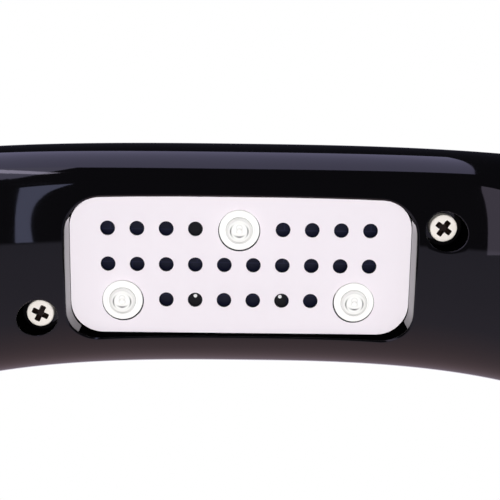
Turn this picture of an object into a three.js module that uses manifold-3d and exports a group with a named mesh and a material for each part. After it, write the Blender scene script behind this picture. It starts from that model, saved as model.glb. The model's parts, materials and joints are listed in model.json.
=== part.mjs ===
// Small arch-shaped lamp that cures nail gel: a glossy two-shell arch that stands on its two
// ends, with three light emitters behind a perforated reflector plate in a well under the crown.
// Millimetres. X runs along the span, Y across the arch, Z up; the feet stand on z = 0.

import * as THREE from 'three';
import { mergeVertices } from 'three/addons/utils/BufferGeometryUtils.js';
import Module from 'manifold-3d';

const wasm = await Module();
wasm.setup();

// Arch and housing
const archHalfSpan = 72; // parting line at the end of a leg, from the middle
const archRise = 40; // parting line at the crown, above the end of a leg
const archSquareness = 2.7; // exponent of the arch's curve, where 2 is a plain oval
const bodyHalfWidth = 23.6;
const lowerDepth = 15.9; // parting line to the underside, at the crown
const lowerFootDepth = 12.5; // the same at the end of a leg
const lowerRoundness = 2.5; // exponent of the underside's section, where 2 is a plain oval
const upperDepth = 7.8;
const upperFootDepth = 6.5;
const upperRoundness = 2.2;
const wall = 2.2;
const endWall = 2.2; // at the end of each leg
const partingGap = 0.3;
const tongueThickness = 0.7; // rib on the lower shell that locates the upper one
const tongueHeight = 1.3;
const tongueInset = 0.15; // from the wall's inner face
const tongueEndGap = 2; // short of the end walls
const fitGap = 0.3; // round pieces that drop into a place
const seatGap = 0.1; // under pieces that rest on their seat

// Reflector plate, its well and its pattern of holes
const holeColumns = 10;
const holePitch = 6;
const holeRowPitch = 7.55;
const holeRadius = 1.52;
const patternShift = -0.35; // middle of the pattern from the middle of the plate
const plateEndMargin = 8.15; // past the middle of a centred row's last hole
const plateSideMargin = 6.95; // past the middle of an outer row
const plateEndGap = 0.1; // to the well's wall
const plateSideGap = 0.25;
const wellSetback = 0.2; // middle of the plate and the well behind the middle of the arch
const plateCornerRadius = 6.6; // and of the well
const plateThickness = 0.6;
const plateInset = 4; // its face above the underside of the crown
const wellWall = 1.6;
const ledgeWidth = 1.4; // the plate rests against this ledge
const ledgeThickness = 1.2;

// Light board and emitters
const lightBoardThickness = 1.6;
const lightBoardSetback = 0.6; // its ends inside the outer face of the well's wall
const lightBoardEarRadius = 3.4;
const lightScrewFromWell = 4.9; // past the end of the well
const lightScrewInset = 5.7; // inside the long side of the well
const lightPostRadius = 2.9;
const emitterColumns = 4; // columns of holes from the middle emitter to an outer one
const emitterRadius = 3.8;
const emitterProud = 0.2; // emitter body past the face of the plate
const lensRadius = 4.15;
const lensOpeningGap = 0.1; // to the edge of its opening in the plate
const lensOpeningSetback = 0.25; // the opening's middle behind the lens's
const lensFlange = 0.5;
const lensDomeRadius = 2.75;
const lensDomeHeight = 1.3;
const lensTopRadius = 1.65;
const lensShoulderHeight = 1;
const lensDimpleRadius = 0.65;
const lensDimpleDepth = 0.35;
const resistorLength = 3.2; // across the row
const resistorWidth = 2.5;
const resistorHeight = 0.6;
const resistorSetback = 0.7; // middle of one behind the middle of its hole
const resistorShift = -0.3;

// Screws that hold the shells together, one each side of the well, on a diagonal
const shellScrewFromWell = 5.45; // past the end of the well
const shellScrewInset = 5.4; // inside the long side of the well
const shellScrewHeadRadius = 2.75;
const shellScrewHeadHeight = 2;
const shellScrewShankRadius = 1.3;
const shellScrewLength = 10;
const counterboreRadius = 3.9;
const counterboreDepth = 5.6; // underside to the seat of the screw's head
const counterboreFloor = 2;
const bossWall = 1.7;
const threadGap = 0.25;
const crossWidth = 0.8;
const crossLength = 3.5;
const crossDepth = 1.2;

// Small screws of the two boards
const smallHeadRadius = 1.9;
const smallHeadHeight = 1.3;
const smallShankRadius = 0.95;
const smallScrewLength = 5;
const smallCrossWidth = 0.6;
const smallCrossLength = 2.2;
const smallCrossDepth = 0.8;

// Control board under the crown, with the switch, the power inlet and their parts
const controlDrop = 6.9; // top face of the board below the ceiling of the upper shell
const controlThickness = 1.6;
const controlHalfLength = 21;
const controlFrontY = -11;
const controlWallGap = 1; // back edge to the inner face of the wall
const controlScrewFromEnd = 3.8; // inside the board's end
const controlScrewY = 7.2;
const inletWidth = 7.5;
const inletHeight = 2.7;
const inletLength = 5.7;
const inletSkin = 0.35;
const inletTongue = 0.6;
const inletRecess = 1; // its mouth inside the outer face of the housing
const inletHoleMargin = 0.5;
const chipLength = 5;
const chipWidth = 3.9;
const chipHeight = 1.4;
const chipLegs = 4; // on each side
const chipLegPitch = 1.27;
const chipLegWidth = 0.45;
const chipLegReach = 1;
const chipLegThickness = 0.25;
const chipFromEnd = 9; // middle of the chip inside the board's left end
const chipY = -3;
const transistorLength = 4.4;
const transistorWidth = 2.5;
const transistorHeight = 1.5;
const transistorFromEnd = 10;
const transistorY = -6.5;
const capacitorRadius = 2.5;
const capacitorHeight = 5.2;
const capacitorFromEnd = 10;
const capacitorFromBack = 8.9;
const coilSide = 5.2;
const coilHeight = 3;
const coilFromEnd = 10;
const coilFromBack = 8.9;
const wireRadius = 0.6;
const wireSpacing = 3;
const wireStartX = -8; // solder joint on the control board
const wireEndX = -24; // solder joint on the light board
const wireBulge = 1.2;

// Button and switch
const buttonRadius = 5.4;
const buttonProud = 1;
const buttonCrown = 0.5; // rise of its domed top
const buttonFlange = 1.2; // rim that keeps it inside the shell
const buttonFlangeThickness = 0.9;
const buttonTravel = 0.5;
const buttonStemRadius = 1.5;
const switchSide = 6;
const switchHeight = 3.4;
const switchLegWidth = 0.7;
const switchLegReach = 0.9;
const switchLegThickness = 0.3;
const plungerRadius = 1.7;
const plungerHeight = 1.1; // above the switch
const plungerDepth = 0.8; // inside the switch, at rest
const stopGap = 0.15; // left under the plunger when it is pressed

// Rubber feet
const footLift = 1.2; // ends of the legs above the table
const footRadius = 3.7;
const footRecess = 0.9;
const footSpreadY = 12;
const footEdge = 0.4;

// Fineness of the facets
const archSteps = 30;
const sectionSteps = 18;
const cavityArchSteps = 18;
const cavitySectionSteps = 10;
const lensSides = 20;
const footSides = 20;
const shoulderSteps = 3;
const wireSteps = 12;
const roundSides = 26;
const smallSides = 14;
const overrun = 2; // cutters reach this far past what they cut
const weldDistance = 1e-4;

// The plate goes round its holes, the well round the plate, and the screws stand past the well's ends
const plateHalfLength = holePitch * (holeColumns - 1) / 2 + plateEndMargin;
const plateHalfWidth = holeRowPitch + plateSideMargin;
const wellHalfLength = plateHalfLength + plateEndGap;
const wellHalfWidth = plateHalfWidth + plateSideGap;
const wellRadius = plateCornerRadius;
const emitterSpan = holePitch * emitterColumns;
const shellScrewX = wellHalfLength + shellScrewFromWell;
const shellScrewY = wellHalfWidth - shellScrewInset;
const lightScrewX = wellHalfLength + lightScrewFromWell;
const lightScrewY = wellHalfWidth - lightScrewInset;

// The control board reaches back to the inlet's wall, and its parts keep their place from its edges
const innerHalfWidth = bodyHalfWidth - wall;
const controlBackY = innerHalfWidth - controlWallGap;
const controlScrewX = controlHalfLength - controlScrewFromEnd;
const chipX = chipFromEnd - controlHalfLength;
const transistorX = controlHalfLength - transistorFromEnd;
const capacitorX = controlHalfLength - capacitorFromEnd;
const capacitorY = controlBackY - capacitorFromBack;
const coilX = coilFromEnd - controlHalfLength;
const coilY = controlBackY - coilFromBack;

// Heights at the crown
const crownZ = footLift + archRise;
const undersideZ = crownZ - lowerDepth;
const plateFaceZ = undersideZ + plateInset;
const ledgeZ = plateFaceZ + plateThickness + seatGap;
const wellTopZ = ledgeZ + ledgeThickness;
const lightBoardZ = wellTopZ + seatGap;
const lightBoardTopZ = lightBoardZ + lightBoardThickness;
const topZ = crownZ + upperDepth;
const ceilingZ = topZ - wall;
const controlTopZ = ceilingZ - controlDrop;
const controlZ = controlTopZ - controlThickness;

// Colours and finishes
const finish = (color, roughness, metalness, more = {}) =>
  new THREE.MeshStandardMaterial({ color, roughness, metalness, ...more });
const blackGloss = finish(0x08080a, 0.12, 0);
const silverWhite = finish(0xefedf5, 0.25, 0.3);
const clearLens = finish(0xf4f2ee, 0.05, 0, { transparent: true, opacity: 0.45 });
const emitterWhite = finish(0xf1ede2, 0.5, 0);
const nickel = finish(0xd8d4cc, 0.3, 1);
const boardNavy = finish(0x1c2038, 0.5, 0);
const boardGreen = finish(0x1d5a35, 0.5, 0);
const chipBlack = finish(0x151516, 0.55, 0);
const canMetal = finish(0xb9bcc0, 0.3, 1);
const rubber = finish(0x141414, 0.85, 0);
const buttonWhite = finish(0xe9e9ec, 0.3, 0);
const wireRed = finish(0xa81c1c, 0.5, 0);
const wireBlack = finish(0x101010, 0.5, 0);

const lamp = new THREE.Group();
const quarterTurn = Math.PI / 2;

function addPiece(name, solid, material) {
  const mesh = solid.getMesh();
  const geometry = new THREE.BufferGeometry();
  geometry.setAttribute('position', new THREE.BufferAttribute(mesh.vertProperties, mesh.numProp));
  geometry.setIndex(new THREE.BufferAttribute(mesh.triVerts, 1));
  geometry.computeVertexNormals();
  const piece = new THREE.Mesh(geometry, material);
  piece.name = name;
  lamp.add(piece);
}

// Basic solids

function toSolid(geometry) {
  const bare = new THREE.BufferGeometry();
  bare.setAttribute('position', geometry.getAttribute('position'));
  if (geometry.index) bare.setIndex(geometry.index);
  const merged = mergeVertices(bare, weldDistance);
  const corners = merged.index.array;
  const triVerts = [];
  for (let i = 0; i < corners.length; i += 3) {
    const [a, b, c] = corners.slice(i, i + 3);
    if (a !== b && b !== c && c !== a) triVerts.push(a, b, c);
  }
  return new wasm.Manifold(new wasm.Mesh({
    numProp: 3,
    vertProperties: new Float32Array(merged.getAttribute('position').array),
    triVerts: new Uint32Array(triVerts),
  }));
}

function roundedRectangle(halfLength, halfWidth, radius, setback) {
  const shape = new THREE.Shape();
  const x = halfLength - radius;
  const y = halfWidth - radius;
  const corners = [[x, y], [-x, y], [-x, -y], [x, -y]];
  corners.forEach(([middleX, middleY], i) => {
    shape.absarc(middleX, setback + middleY, radius, i * quarterTurn, (i + 1) * quarterTurn);
  });
  return shape;
}

function prism(shape, bottom, top, curveSegments = 8) {
  const options = { depth: top - bottom, bevelEnabled: false, curveSegments };
  return toSolid(new THREE.ExtrudeGeometry(shape, options).translate(0, 0, bottom));
}

function rod(radius, bottom, top, x = 0, y = 0, sides = smallSides) {
  const geometry = new THREE.CylinderGeometry(radius, radius, top - bottom, sides);
  return toSolid(geometry.rotateX(quarterTurn).translate(x, y, (bottom + top) / 2));
}

function box(x0, x1, y0, y1, z0, z1) {
  const geometry = new THREE.BoxGeometry(x1 - x0, y1 - y0, z1 - z0);
  return toSolid(geometry.translate((x0 + x1) / 2, (y0 + y1) / 2, (z0 + z1) / 2));
}

const mix = (first, last, share) => first + (last - first) * share;

// Quarter of an oval, as profile points: level at its first radius and height, upright at its last.
function shoulder(firstRadius, firstHeight, lastRadius, lastHeight) {
  const points = [];
  for (let i = 0; i <= shoulderSteps; i++) {
    const angle = quarterTurn * i / shoulderSteps;
    points.push([
      mix(firstRadius, lastRadius, Math.sin(angle)),
      mix(firstHeight, lastHeight, 1 - Math.cos(angle)),
    ]);
  }
  return points;
}

// A revolved piece; its profile is a list of [radius, height] from the bottom of the axis to its top.
function turned(profile, sides = roundSides) {
  const points = profile.map(([radius, height]) => new THREE.Vector2(radius, height));
  return toSolid(new THREE.LatheGeometry(points, sides).rotateX(quarterTurn));
}

// The arch: a superellipse, so each leg ends upright on the level of the table.
// The angle runs from minus a quarter turn at the left foot to a quarter turn at the right one.

function archAt(angle) {
  const power = 2 / archSquareness;
  const sine = Math.abs(Math.sin(angle));
  const run = archHalfSpan * power * Math.cos(angle);
  const fall = archRise * sine ** (2 - power);
  return {
    x: Math.sign(angle) * archHalfSpan * sine ** power,
    z: footLift + archRise * Math.cos(angle),
    lean: Math.sign(angle) * Math.atan2(fall, run),
    legShare: sine ** 4,
  };
}

const lowerDepthAt = (place) => mix(lowerDepth, lowerFootDepth, place.legShare);
const upperDepthAt = (place) => mix(upperDepth, upperFootDepth, place.legShare);

// Half of the housing's section as [across, outward] points; side is -1 under the parting line.
function halfOval(halfWidth, depth, roundness, side, start, steps) {
  const points = [];
  for (let i = 0; i <= steps; i++) {
    const angle = Math.PI * i / steps;
    const across = Math.sign(Math.cos(angle)) * Math.abs(Math.cos(angle)) ** (2 / roundness);
    const outward = Math.abs(Math.sin(angle)) ** (2 / roundness);
    points.push([halfWidth * across, side * (start + (depth - start) * outward)]);
  }
  return points;
}

// Sweeps a section along the arch, with a flat cap at each end.
function sweep(sectionAt, start, end, steps = archSteps) {
  const positions = [];
  const faces = [];
  let contour = [];
  for (let i = 0; i <= steps; i++) {
    const place = archAt(start + (end - start) * i / steps);
    contour = sectionAt(place).map(([across, outward]) => new THREE.Vector2(across, outward));
    if (THREE.ShapeUtils.isClockWise(contour)) contour.reverse();
    for (const { x: across, y: outward } of contour) {
      const x = place.x + outward * Math.sin(place.lean);
      const z = place.z + outward * Math.cos(place.lean);
      positions.push(x, across, z);
    }
  }
  const count = contour.length;
  for (let i = 0; i < steps; i++) {
    for (let j = 0; j < count; j++) {
      const a = i * count + j;
      const b = i * count + (j + 1) % count;
      faces.push(a, b, b + count, a, b + count, a + count);
    }
  }
  for (const [a, b, c] of THREE.ShapeUtils.triangulateShape(contour, [])) {
    const last = steps * count;
    faces.push(c, b, a, last + a, last + b, last + c);
  }
  const geometry = new THREE.BufferGeometry();
  geometry.setAttribute('position', new THREE.Float32BufferAttribute(positions, 3));
  geometry.setIndex(faces);
  return toSolid(geometry);
}

// Height of a face of the housing straight above or below (x, y), found by halving the arch's angle.
function heightAt(x, y, halfWidth, depthAt, roundness, side) {
  const share = (1 - Math.abs(y / halfWidth) ** roundness) ** (1 / roundness);
  let low = -quarterTurn;
  let high = quarterTurn;
  let place = archAt(0);
  for (let i = 0; i < 50; i++) {
    const angle = (low + high) / 2;
    place = archAt(angle);
    if (place.x + side * depthAt(place) * share * Math.sin(place.lean) < x) low = angle;
    else high = angle;
  }
  return place.z + side * depthAt(place) * share * Math.cos(place.lean);
}

const undersideAt = (x, y) => heightAt(x, y, bodyHalfWidth, lowerDepthAt, lowerRoundness, -1);

// Housing

const cavityEnd = Math.acos(endWall / archRise);
const tongueEnd = Math.acos((endWall + tongueEndGap) / archRise);

const edgeStart = partingGap / 2;

const lowerHalf = (place) =>
  halfOval(bodyHalfWidth, lowerDepthAt(place), lowerRoundness, -1, edgeStart, sectionSteps);
const upperHalf = (place) =>
  halfOval(bodyHalfWidth, upperDepthAt(place), upperRoundness, 1, edgeStart, sectionSteps);

// The hollow in one half, which also cuts straight past the parting line.
function cavity(depthAt, roundness, side) {
  const sectionAt = (place) => [
    [innerHalfWidth, -side * overrun],
    ...halfOval(innerHalfWidth, depthAt(place) - wall, roundness, side, edgeStart, cavitySectionSteps),
    [-innerHalfWidth, -side * overrun],
  ];
  return sweep(sectionAt, -cavityEnd, cavityEnd, cavityArchSteps);
}

// Strips along both long edges, between two distances across and two outward.
function edgeStrips(near, far, low, high, end) {
  const strip = (side) => () => [
    [side * near, low], [side * far, low], [side * far, high], [side * near, high],
  ];
  return sweep(strip(1), -end, end).add(sweep(strip(-1), -end, end));
}

const tongueNear = innerHalfWidth + tongueInset;
const tongueFar = tongueNear + tongueThickness;

// Screws stand at a diagonal: the left one is behind the middle and the right one before it.
const shellScrewPlaces = [-1, 1].map((side) => ({
  x: side * shellScrewX,
  y: -side * shellScrewY,
  seat: undersideAt(side * shellScrewX, -side * shellScrewY) + counterboreDepth,
}));
const lightScrewPlaces = [-1, 1].map((side) => ({ x: side * lightScrewX, y: side * lightScrewY }));
const controlScrewPlaces = [-1, 1].map((side) => ({ x: side * controlScrewX, y: side * controlScrewY }));
const footPlaces = [-1, 1].flatMap((side) => [-1, 1].map((across) => ({
  x: side * (archHalfSpan - lowerFootDepth / 2),
  y: across * footSpreadY,
})));

// Power inlet: its body lies on the control board, with its mouth just inside the back wall.
const inletMouthY = bodyHalfWidth - inletRecess;
const inletHole = () => box(
  -inletWidth / 2 - inletHoleMargin, inletWidth / 2 + inletHoleMargin,
  inletMouthY - inletLength, bodyHalfWidth + overrun,
  controlTopZ - inletHoleMargin, controlTopZ + seatGap + inletHeight + inletHoleMargin,
);

function makeLowerShell() {
  const outside = sweep(lowerHalf, -quarterTurn, quarterTurn);
  let shell = outside.subtract(cavity(lowerDepthAt, lowerRoundness, -1));

  const wellOutline = (margin) =>
    roundedRectangle(wellHalfLength + margin, wellHalfWidth + margin, wellRadius + margin, wellSetback);
  const tray = prism(wellOutline(wellWall), footLift, wellTopZ);
  const posts = [];
  for (const { x, y, seat } of shellScrewPlaces) {
    const radius = counterboreRadius + bossWall;
    posts.push(rod(radius, footLift, seat + counterboreFloor, x, y, roundSides));
  }
  for (const { x, y } of lightScrewPlaces) {
    posts.push(rod(lightPostRadius, footLift, wellTopZ, x, y));
  }
  for (const post of [tray, ...posts]) shell = shell.add(post.intersect(outside));
  shell = shell.add(edgeStrips(tongueNear, tongueFar, -tongueHeight, tongueHeight, tongueEnd));

  const cuts = [
    prism(wellOutline(0), 0, ledgeZ),
    prism(wellOutline(-ledgeWidth), 0, wellTopZ + overrun),
    inletHole(),
  ];
  for (const { x, y, seat } of shellScrewPlaces) {
    cuts.push(rod(counterboreRadius, 0, seat, x, y, roundSides));
    const through = shellScrewShankRadius + fitGap;
    cuts.push(rod(through, 0, seat + counterboreFloor + overrun, x, y));
  }
  for (const { x, y } of lightScrewPlaces) {
    const pilotDepth = smallScrewLength - lightBoardThickness + fitGap;
    cuts.push(rod(smallShankRadius + threadGap, wellTopZ - pilotDepth, wellTopZ + overrun, x, y));
  }
  for (const { x, y } of footPlaces) {
    cuts.push(rod(footRadius + fitGap, 0, footLift + footRecess, x, y, roundSides));
  }
  for (const cut of cuts) shell = shell.subtract(cut);
  addPiece('lower_shell', shell, blackGloss);
}

function makeUpperShell() {
  const outside = sweep(upperHalf, -quarterTurn, quarterTurn);
  let shell = outside.subtract(cavity(upperDepthAt, upperRoundness, 1));
  shell = shell.subtract(edgeStrips(
    innerHalfWidth - overrun, tongueFar + fitGap, -overrun, tongueHeight + fitGap, cavityEnd,
  ));

  // Bosses hang from the ceiling, past the parting line, and stop at the outer face above them.
  const reachSection = (place) => [
    ...upperHalf(place),
    [-bodyHalfWidth, -lowerFootDepth],
    [bodyHalfWidth, -lowerFootDepth],
  ];
  const reach = sweep(reachSection, -quarterTurn, quarterTurn);
  const bosses = [];
  const cuts = [];
  for (const { x, y, seat } of shellScrewPlaces) {
    const bottom = seat + counterboreFloor + seatGap;
    bosses.push(rod(shellScrewShankRadius + threadGap + bossWall, bottom, topZ, x, y, roundSides));
    const depth = seat + shellScrewLength + fitGap;
    cuts.push(rod(shellScrewShankRadius + threadGap, bottom - overrun, depth, x, y));
  }
  for (const { x, y } of controlScrewPlaces) {
    const bottom = controlTopZ + seatGap;
    bosses.push(rod(smallShankRadius + threadGap + bossWall, bottom, topZ, x, y));
    bosses.push(rod(smallShankRadius + threadGap, bottom, topZ, -x, y));
    const depth = controlZ + smallScrewLength + fitGap;
    cuts.push(rod(smallShankRadius + threadGap, bottom - overrun, depth, x, y));
  }
  for (const boss of bosses) shell = shell.add(boss.intersect(reach));

  cuts.push(rod(buttonRadius + fitGap, crownZ, topZ + overrun, 0, 0, roundSides));
  cuts.push(inletHole());
  for (const cut of cuts) shell = shell.subtract(cut);
  addPiece('upper_shell', shell, blackGloss);
}

// Reflector plate: three rows of holes, with an emitter in the place of two or four of them

const emitterPlaces = [
  { name: 'left', x: patternShift - emitterSpan, y: holeRowPitch },
  { name: 'middle', x: patternShift, y: -holeRowPitch },
  { name: 'right', x: patternShift + emitterSpan, y: holeRowPitch },
];
const columnX = (column) => patternShift + (column - (holeColumns - 1) / 2) * holePitch;

function holePlaces() {
  const places = [];
  for (let row = -1; row <= 1; row++) {
    for (let column = 0; column < holeColumns; column++) {
      const x = columnX(column);
      const y = row * holeRowPitch;
      const clear = (light) => y !== light.y || Math.abs(x - light.x) > lensRadius + holeRadius;
      if (emitterPlaces.every(clear)) places.push({ x, y });
    }
  }
  return places;
}

function roundHole(x, y, radius) {
  const hole = new THREE.Path();
  hole.absarc(x, y, radius, 0, 2 * Math.PI, true);
  return hole;
}

function makeReflectorPlate() {
  const outline = roundedRectangle(plateHalfLength, plateHalfWidth, plateCornerRadius, wellSetback);
  for (const { x, y } of holePlaces()) outline.holes.push(roundHole(x, y, holeRadius));
  for (const { x, y } of emitterPlaces) {
    outline.holes.push(roundHole(x, y + lensOpeningSetback, lensRadius + lensOpeningGap));
  }
  addPiece('reflector_plate', prism(outline, plateFaceZ, plateFaceZ + plateThickness), silverWhite);
}

// Light board, its emitters with their lenses, and its chip resistors

function makeLightBoard() {
  const halfLength = wellHalfLength + wellWall - lightBoardSetback;
  let board = prism(
    roundedRectangle(halfLength, wellHalfWidth, plateCornerRadius, wellSetback),
    lightBoardZ, lightBoardTopZ,
  );
  for (const { x, y } of lightScrewPlaces) {
    const toward = Math.sign(x) * (halfLength - lightBoardEarRadius);
    board = board.add(rod(lightBoardEarRadius, lightBoardZ, lightBoardTopZ, x, y, roundSides));
    board = board.add(box(
      Math.min(x, toward), Math.max(x, toward),
      y - lightBoardEarRadius, y + lightBoardEarRadius, lightBoardZ, lightBoardTopZ,
    ));
    const hole = rod(smallShankRadius + fitGap, lightBoardZ - overrun, lightBoardTopZ + overrun, x, y);
    board = board.subtract(hole);
  }
  addPiece('light_board', board, boardNavy);
}

function makeEmitters() {
  const bottom = plateFaceZ - emitterProud;
  const lensBack = bottom - seatGap;
  const lensStep = lensBack - lensFlange;
  const lensTip = lensStep - lensDomeHeight;
  const profile = [
    [0, lensTip + lensDimpleDepth],
    [lensDimpleRadius, lensTip + lensDimpleDepth],
    [lensDimpleRadius, lensTip],
    ...shoulder(lensTopRadius, lensTip, lensDomeRadius, lensTip + lensShoulderHeight),
    [lensDomeRadius, lensStep],
    [lensRadius, lensStep],
    [lensRadius, lensBack],
    [0, lensBack],
  ];
  for (const { name, x, y } of emitterPlaces) {
    const body = rod(emitterRadius, bottom, lightBoardZ - seatGap, x, y, roundSides);
    addPiece(`emitter_${name}`, body, emitterWhite);
    addPiece(`lens_${name}`, turned(profile, lensSides).translate([x, y, 0]), clearLens);
  }
}

// Three of the holes show a chip resistor of the light board behind them.
const resistors = [
  { column: 3, row: -1, shift: 0, setback: 0 },
  { column: 3, row: 1, shift: 0, setback: resistorSetback },
  { column: 6, row: 1, shift: resistorShift, setback: resistorSetback },
];

function makeChipResistors() {
  resistors.forEach(({ column, row, shift, setback }, index) => {
    const x = columnX(column) + shift;
    const y = row * holeRowPitch + setback;
    const top = lightBoardZ - seatGap;
    addPiece(`chip_resistor_${index + 1}`, box(
      x - resistorWidth / 2, x + resistorWidth / 2,
      y - resistorLength / 2, y + resistorLength / 2, top - resistorHeight, top,
    ), chipBlack);
  });
}

// Screws, with their heads down and a cross recess

function makeScrew(name, place, seat, size, turn) {
  const { headRadius, headHeight, shankRadius, length, crossWidth, crossLength, crossDepth } = size;
  const edge = headHeight / 3;
  let screw = turned([
    [0, -headHeight],
    [headRadius - edge, -headHeight],
    [headRadius, edge - headHeight],
    [headRadius, 0],
    [shankRadius, 0],
    [shankRadius, length - shankRadius],
    [0, length],
  ], size.sides);
  for (const quarter of [0, quarterTurn]) {
    const bar = new THREE.BoxGeometry(crossLength, crossWidth, 2 * crossDepth);
    bar.rotateZ(turn + quarter).translate(0, 0, -headHeight);
    screw = screw.subtract(toSolid(bar));
  }
  addPiece(name, screw.translate([place.x, place.y, seat]), nickel);
}

const shellScrew = {
  headRadius: shellScrewHeadRadius,
  headHeight: shellScrewHeadHeight,
  shankRadius: shellScrewShankRadius,
  length: shellScrewLength,
  crossWidth,
  crossLength,
  crossDepth,
  sides: roundSides,
};
const smallScrew = {
  headRadius: smallHeadRadius,
  headHeight: smallHeadHeight,
  shankRadius: smallShankRadius,
  length: smallScrewLength,
  crossWidth: smallCrossWidth,
  crossLength: smallCrossLength,
  crossDepth: smallCrossDepth,
  sides: smallSides,
};
const shellScrewTurns = [Math.PI / 7, Math.PI / 5.1];

function makeScrews() {
  const sides = ['left', 'right'];
  shellScrewPlaces.forEach((place, i) => {
    makeScrew(`shell_screw_${sides[i]}`, place, place.seat - seatGap, shellScrew, shellScrewTurns[i]);
  });
  controlScrewPlaces.forEach((place, i) => {
    makeScrew(`control_screw_${sides[i]}`, place, controlZ - seatGap, smallScrew, 0);
  });
  lightScrewPlaces.forEach((place, i) => {
    makeLightScrew(`light_screw_${sides[i]}`, place);
  });
}

// The light board's screws are driven from inside the housing, so their heads are up.
function makeLightScrew(name, { x, y }) {
  const seat = lightBoardTopZ + seatGap;
  let screw = rod(smallHeadRadius, seat, seat + smallHeadHeight, x, y);
  screw = screw.add(rod(smallShankRadius, seat - smallScrewLength, seat, x, y));
  for (const [length, width] of [[smallCrossLength, smallCrossWidth], [smallCrossWidth, smallCrossLength]]) {
    screw = screw.subtract(box(
      x - length / 2, x + length / 2, y - width / 2, y + width / 2,
      seat + smallHeadHeight - smallCrossDepth, seat + smallHeadHeight + overrun,
    ));
  }
  addPiece(name, screw, nickel);
}

// Control board and what is soldered to it

function makeControlBoard() {
  let board = box(
    -controlHalfLength, controlHalfLength, controlFrontY, controlBackY, controlZ, controlTopZ,
  );
  for (const { x, y } of controlScrewPlaces) {
    board = board.subtract(rod(smallShankRadius + fitGap, controlZ - overrun, controlTopZ + overrun, x, y));
  }
  addPiece('control_board', board, boardGreen);
}

function makePowerInlet() {
  const half = inletWidth / 2;
  const z = controlTopZ + seatGap;
  const back = inletMouthY - inletLength;
  const middle = z + inletHeight / 2;
  const can = box(-half, half, back, inletMouthY, z, z + inletHeight);
  const mouth = box(
    inletSkin - half, half - inletSkin,
    back + inletSkin, inletMouthY + overrun, z + inletSkin, z + inletHeight - inletSkin,
  );
  const tongue = box(
    -half / 2, half / 2, back, inletMouthY - inletSkin, middle - inletTongue / 2, middle + inletTongue / 2,
  );
  addPiece('power_inlet', can.subtract(mouth).add(tongue), canMetal);
}

function makeTimerChip() {
  const z = controlTopZ + seatGap;
  let chip = box(
    chipX - chipLength / 2, chipX + chipLength / 2,
    chipY - chipWidth / 2, chipY + chipWidth / 2, z + chipLegThickness, z + chipHeight,
  );
  for (let i = 0; i < chipLegs; i++) {
    const x = chipX + (i - (chipLegs - 1) / 2) * chipLegPitch;
    const reach = chipWidth / 2 + chipLegReach;
    const leg = box(
      x - chipLegWidth / 2, x + chipLegWidth / 2, chipY - reach, chipY + reach,
      z, z + 2 * chipLegThickness,
    );
    chip = chip.add(leg);
  }
  addPiece('timer_chip', chip, chipBlack);
}

function makeBoardParts() {
  const z = controlTopZ + seatGap;
  addPiece('power_transistor', box(
    transistorX - transistorLength / 2, transistorX + transistorLength / 2,
    transistorY - transistorWidth / 2, transistorY + transistorWidth / 2, z, z + transistorHeight,
  ), chipBlack);
  const can = rod(capacitorRadius, z, z + capacitorHeight, capacitorX, capacitorY, roundSides);
  addPiece('capacitor', can, canMetal);
  addPiece('choke_coil', box(
    coilX - coilSide / 2, coilX + coilSide / 2,
    coilY - coilSide / 2, coilY + coilSide / 2, z, z + coilHeight,
  ), chipBlack);
}

function makeWires() {
  const wires = [['wire_red', -1, wireRed], ['wire_black', 1, wireBlack]];
  for (const [name, side, material] of wires) {
    const y = side * wireSpacing / 2;
    const start = controlZ - seatGap;
    const end = lightBoardTopZ + seatGap;
    const middle = (start + end) / 2;
    const route = new THREE.CatmullRomCurve3([
      new THREE.Vector3(wireStartX, y, start),
      new THREE.Vector3(wireStartX, y, start - wireBulge),
      new THREE.Vector3((wireStartX + wireEndX) / 2, y * 2, middle),
      new THREE.Vector3(wireEndX, y, end + wireBulge),
      new THREE.Vector3(wireEndX, y, end),
    ]);
    const round = new THREE.Shape().absarc(0, 0, wireRadius, 0, 2 * Math.PI);
    const options = { steps: wireSteps, curveSegments: 4, bevelEnabled: false, extrudePath: route };
    addPiece(name, toSolid(new THREE.ExtrudeGeometry(round, options)), material);
  }
}

// Button and switch

function makeButton() {
  const bottom = ceilingZ - fitGap - buttonFlangeThickness - buttonTravel;
  const flangeTop = bottom + buttonFlangeThickness;
  const rim = topZ + buttonProud - buttonCrown;
  const stemEnd = controlTopZ + seatGap + switchHeight + plungerHeight + seatGap;
  addPiece('button_cap', turned([
    [0, stemEnd],
    [buttonStemRadius, stemEnd],
    [buttonStemRadius, bottom],
    [buttonRadius + buttonFlange, bottom],
    [buttonRadius + buttonFlange, flangeTop],
    [buttonRadius, flangeTop],
    ...shoulder(0, topZ + buttonProud, buttonRadius, rim).reverse(),
  ]), buttonWhite);
}

function makeSwitch() {
  const half = switchSide / 2;
  const z = controlTopZ + seatGap;
  const top = z + switchHeight;
  let body = box(-half, half, -half, half, z, top);
  for (const side of [-1, 1]) {
    const y = side * (half - switchLegWidth);
    const reach = half + switchLegReach;
    const legs = box(
      -reach, reach, y - switchLegWidth / 2, y + switchLegWidth / 2, z, z + switchLegThickness,
    );
    body = body.add(legs);
  }
  const well = rod(plungerRadius + fitGap, top - plungerDepth - buttonTravel - stopGap, top + overrun);
  addPiece('switch_body', body.subtract(well), chipBlack);
  addPiece('switch_plunger', rod(plungerRadius, top - plungerDepth, top + plungerHeight), chipBlack);
}

function makeFeet() {
  const names = ['left_front', 'left_back', 'right_front', 'right_back'];
  const top = footLift + footRecess - seatGap;
  const foot = turned([
    [0, 0],
    [footRadius - footEdge, 0],
    [footRadius, footEdge],
    [footRadius, top],
    [0, top],
  ], footSides);
  footPlaces.forEach(({ x, y }, i) => addPiece(`foot_${names[i]}`, foot.translate([x, y, 0]), rubber));
}

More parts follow.
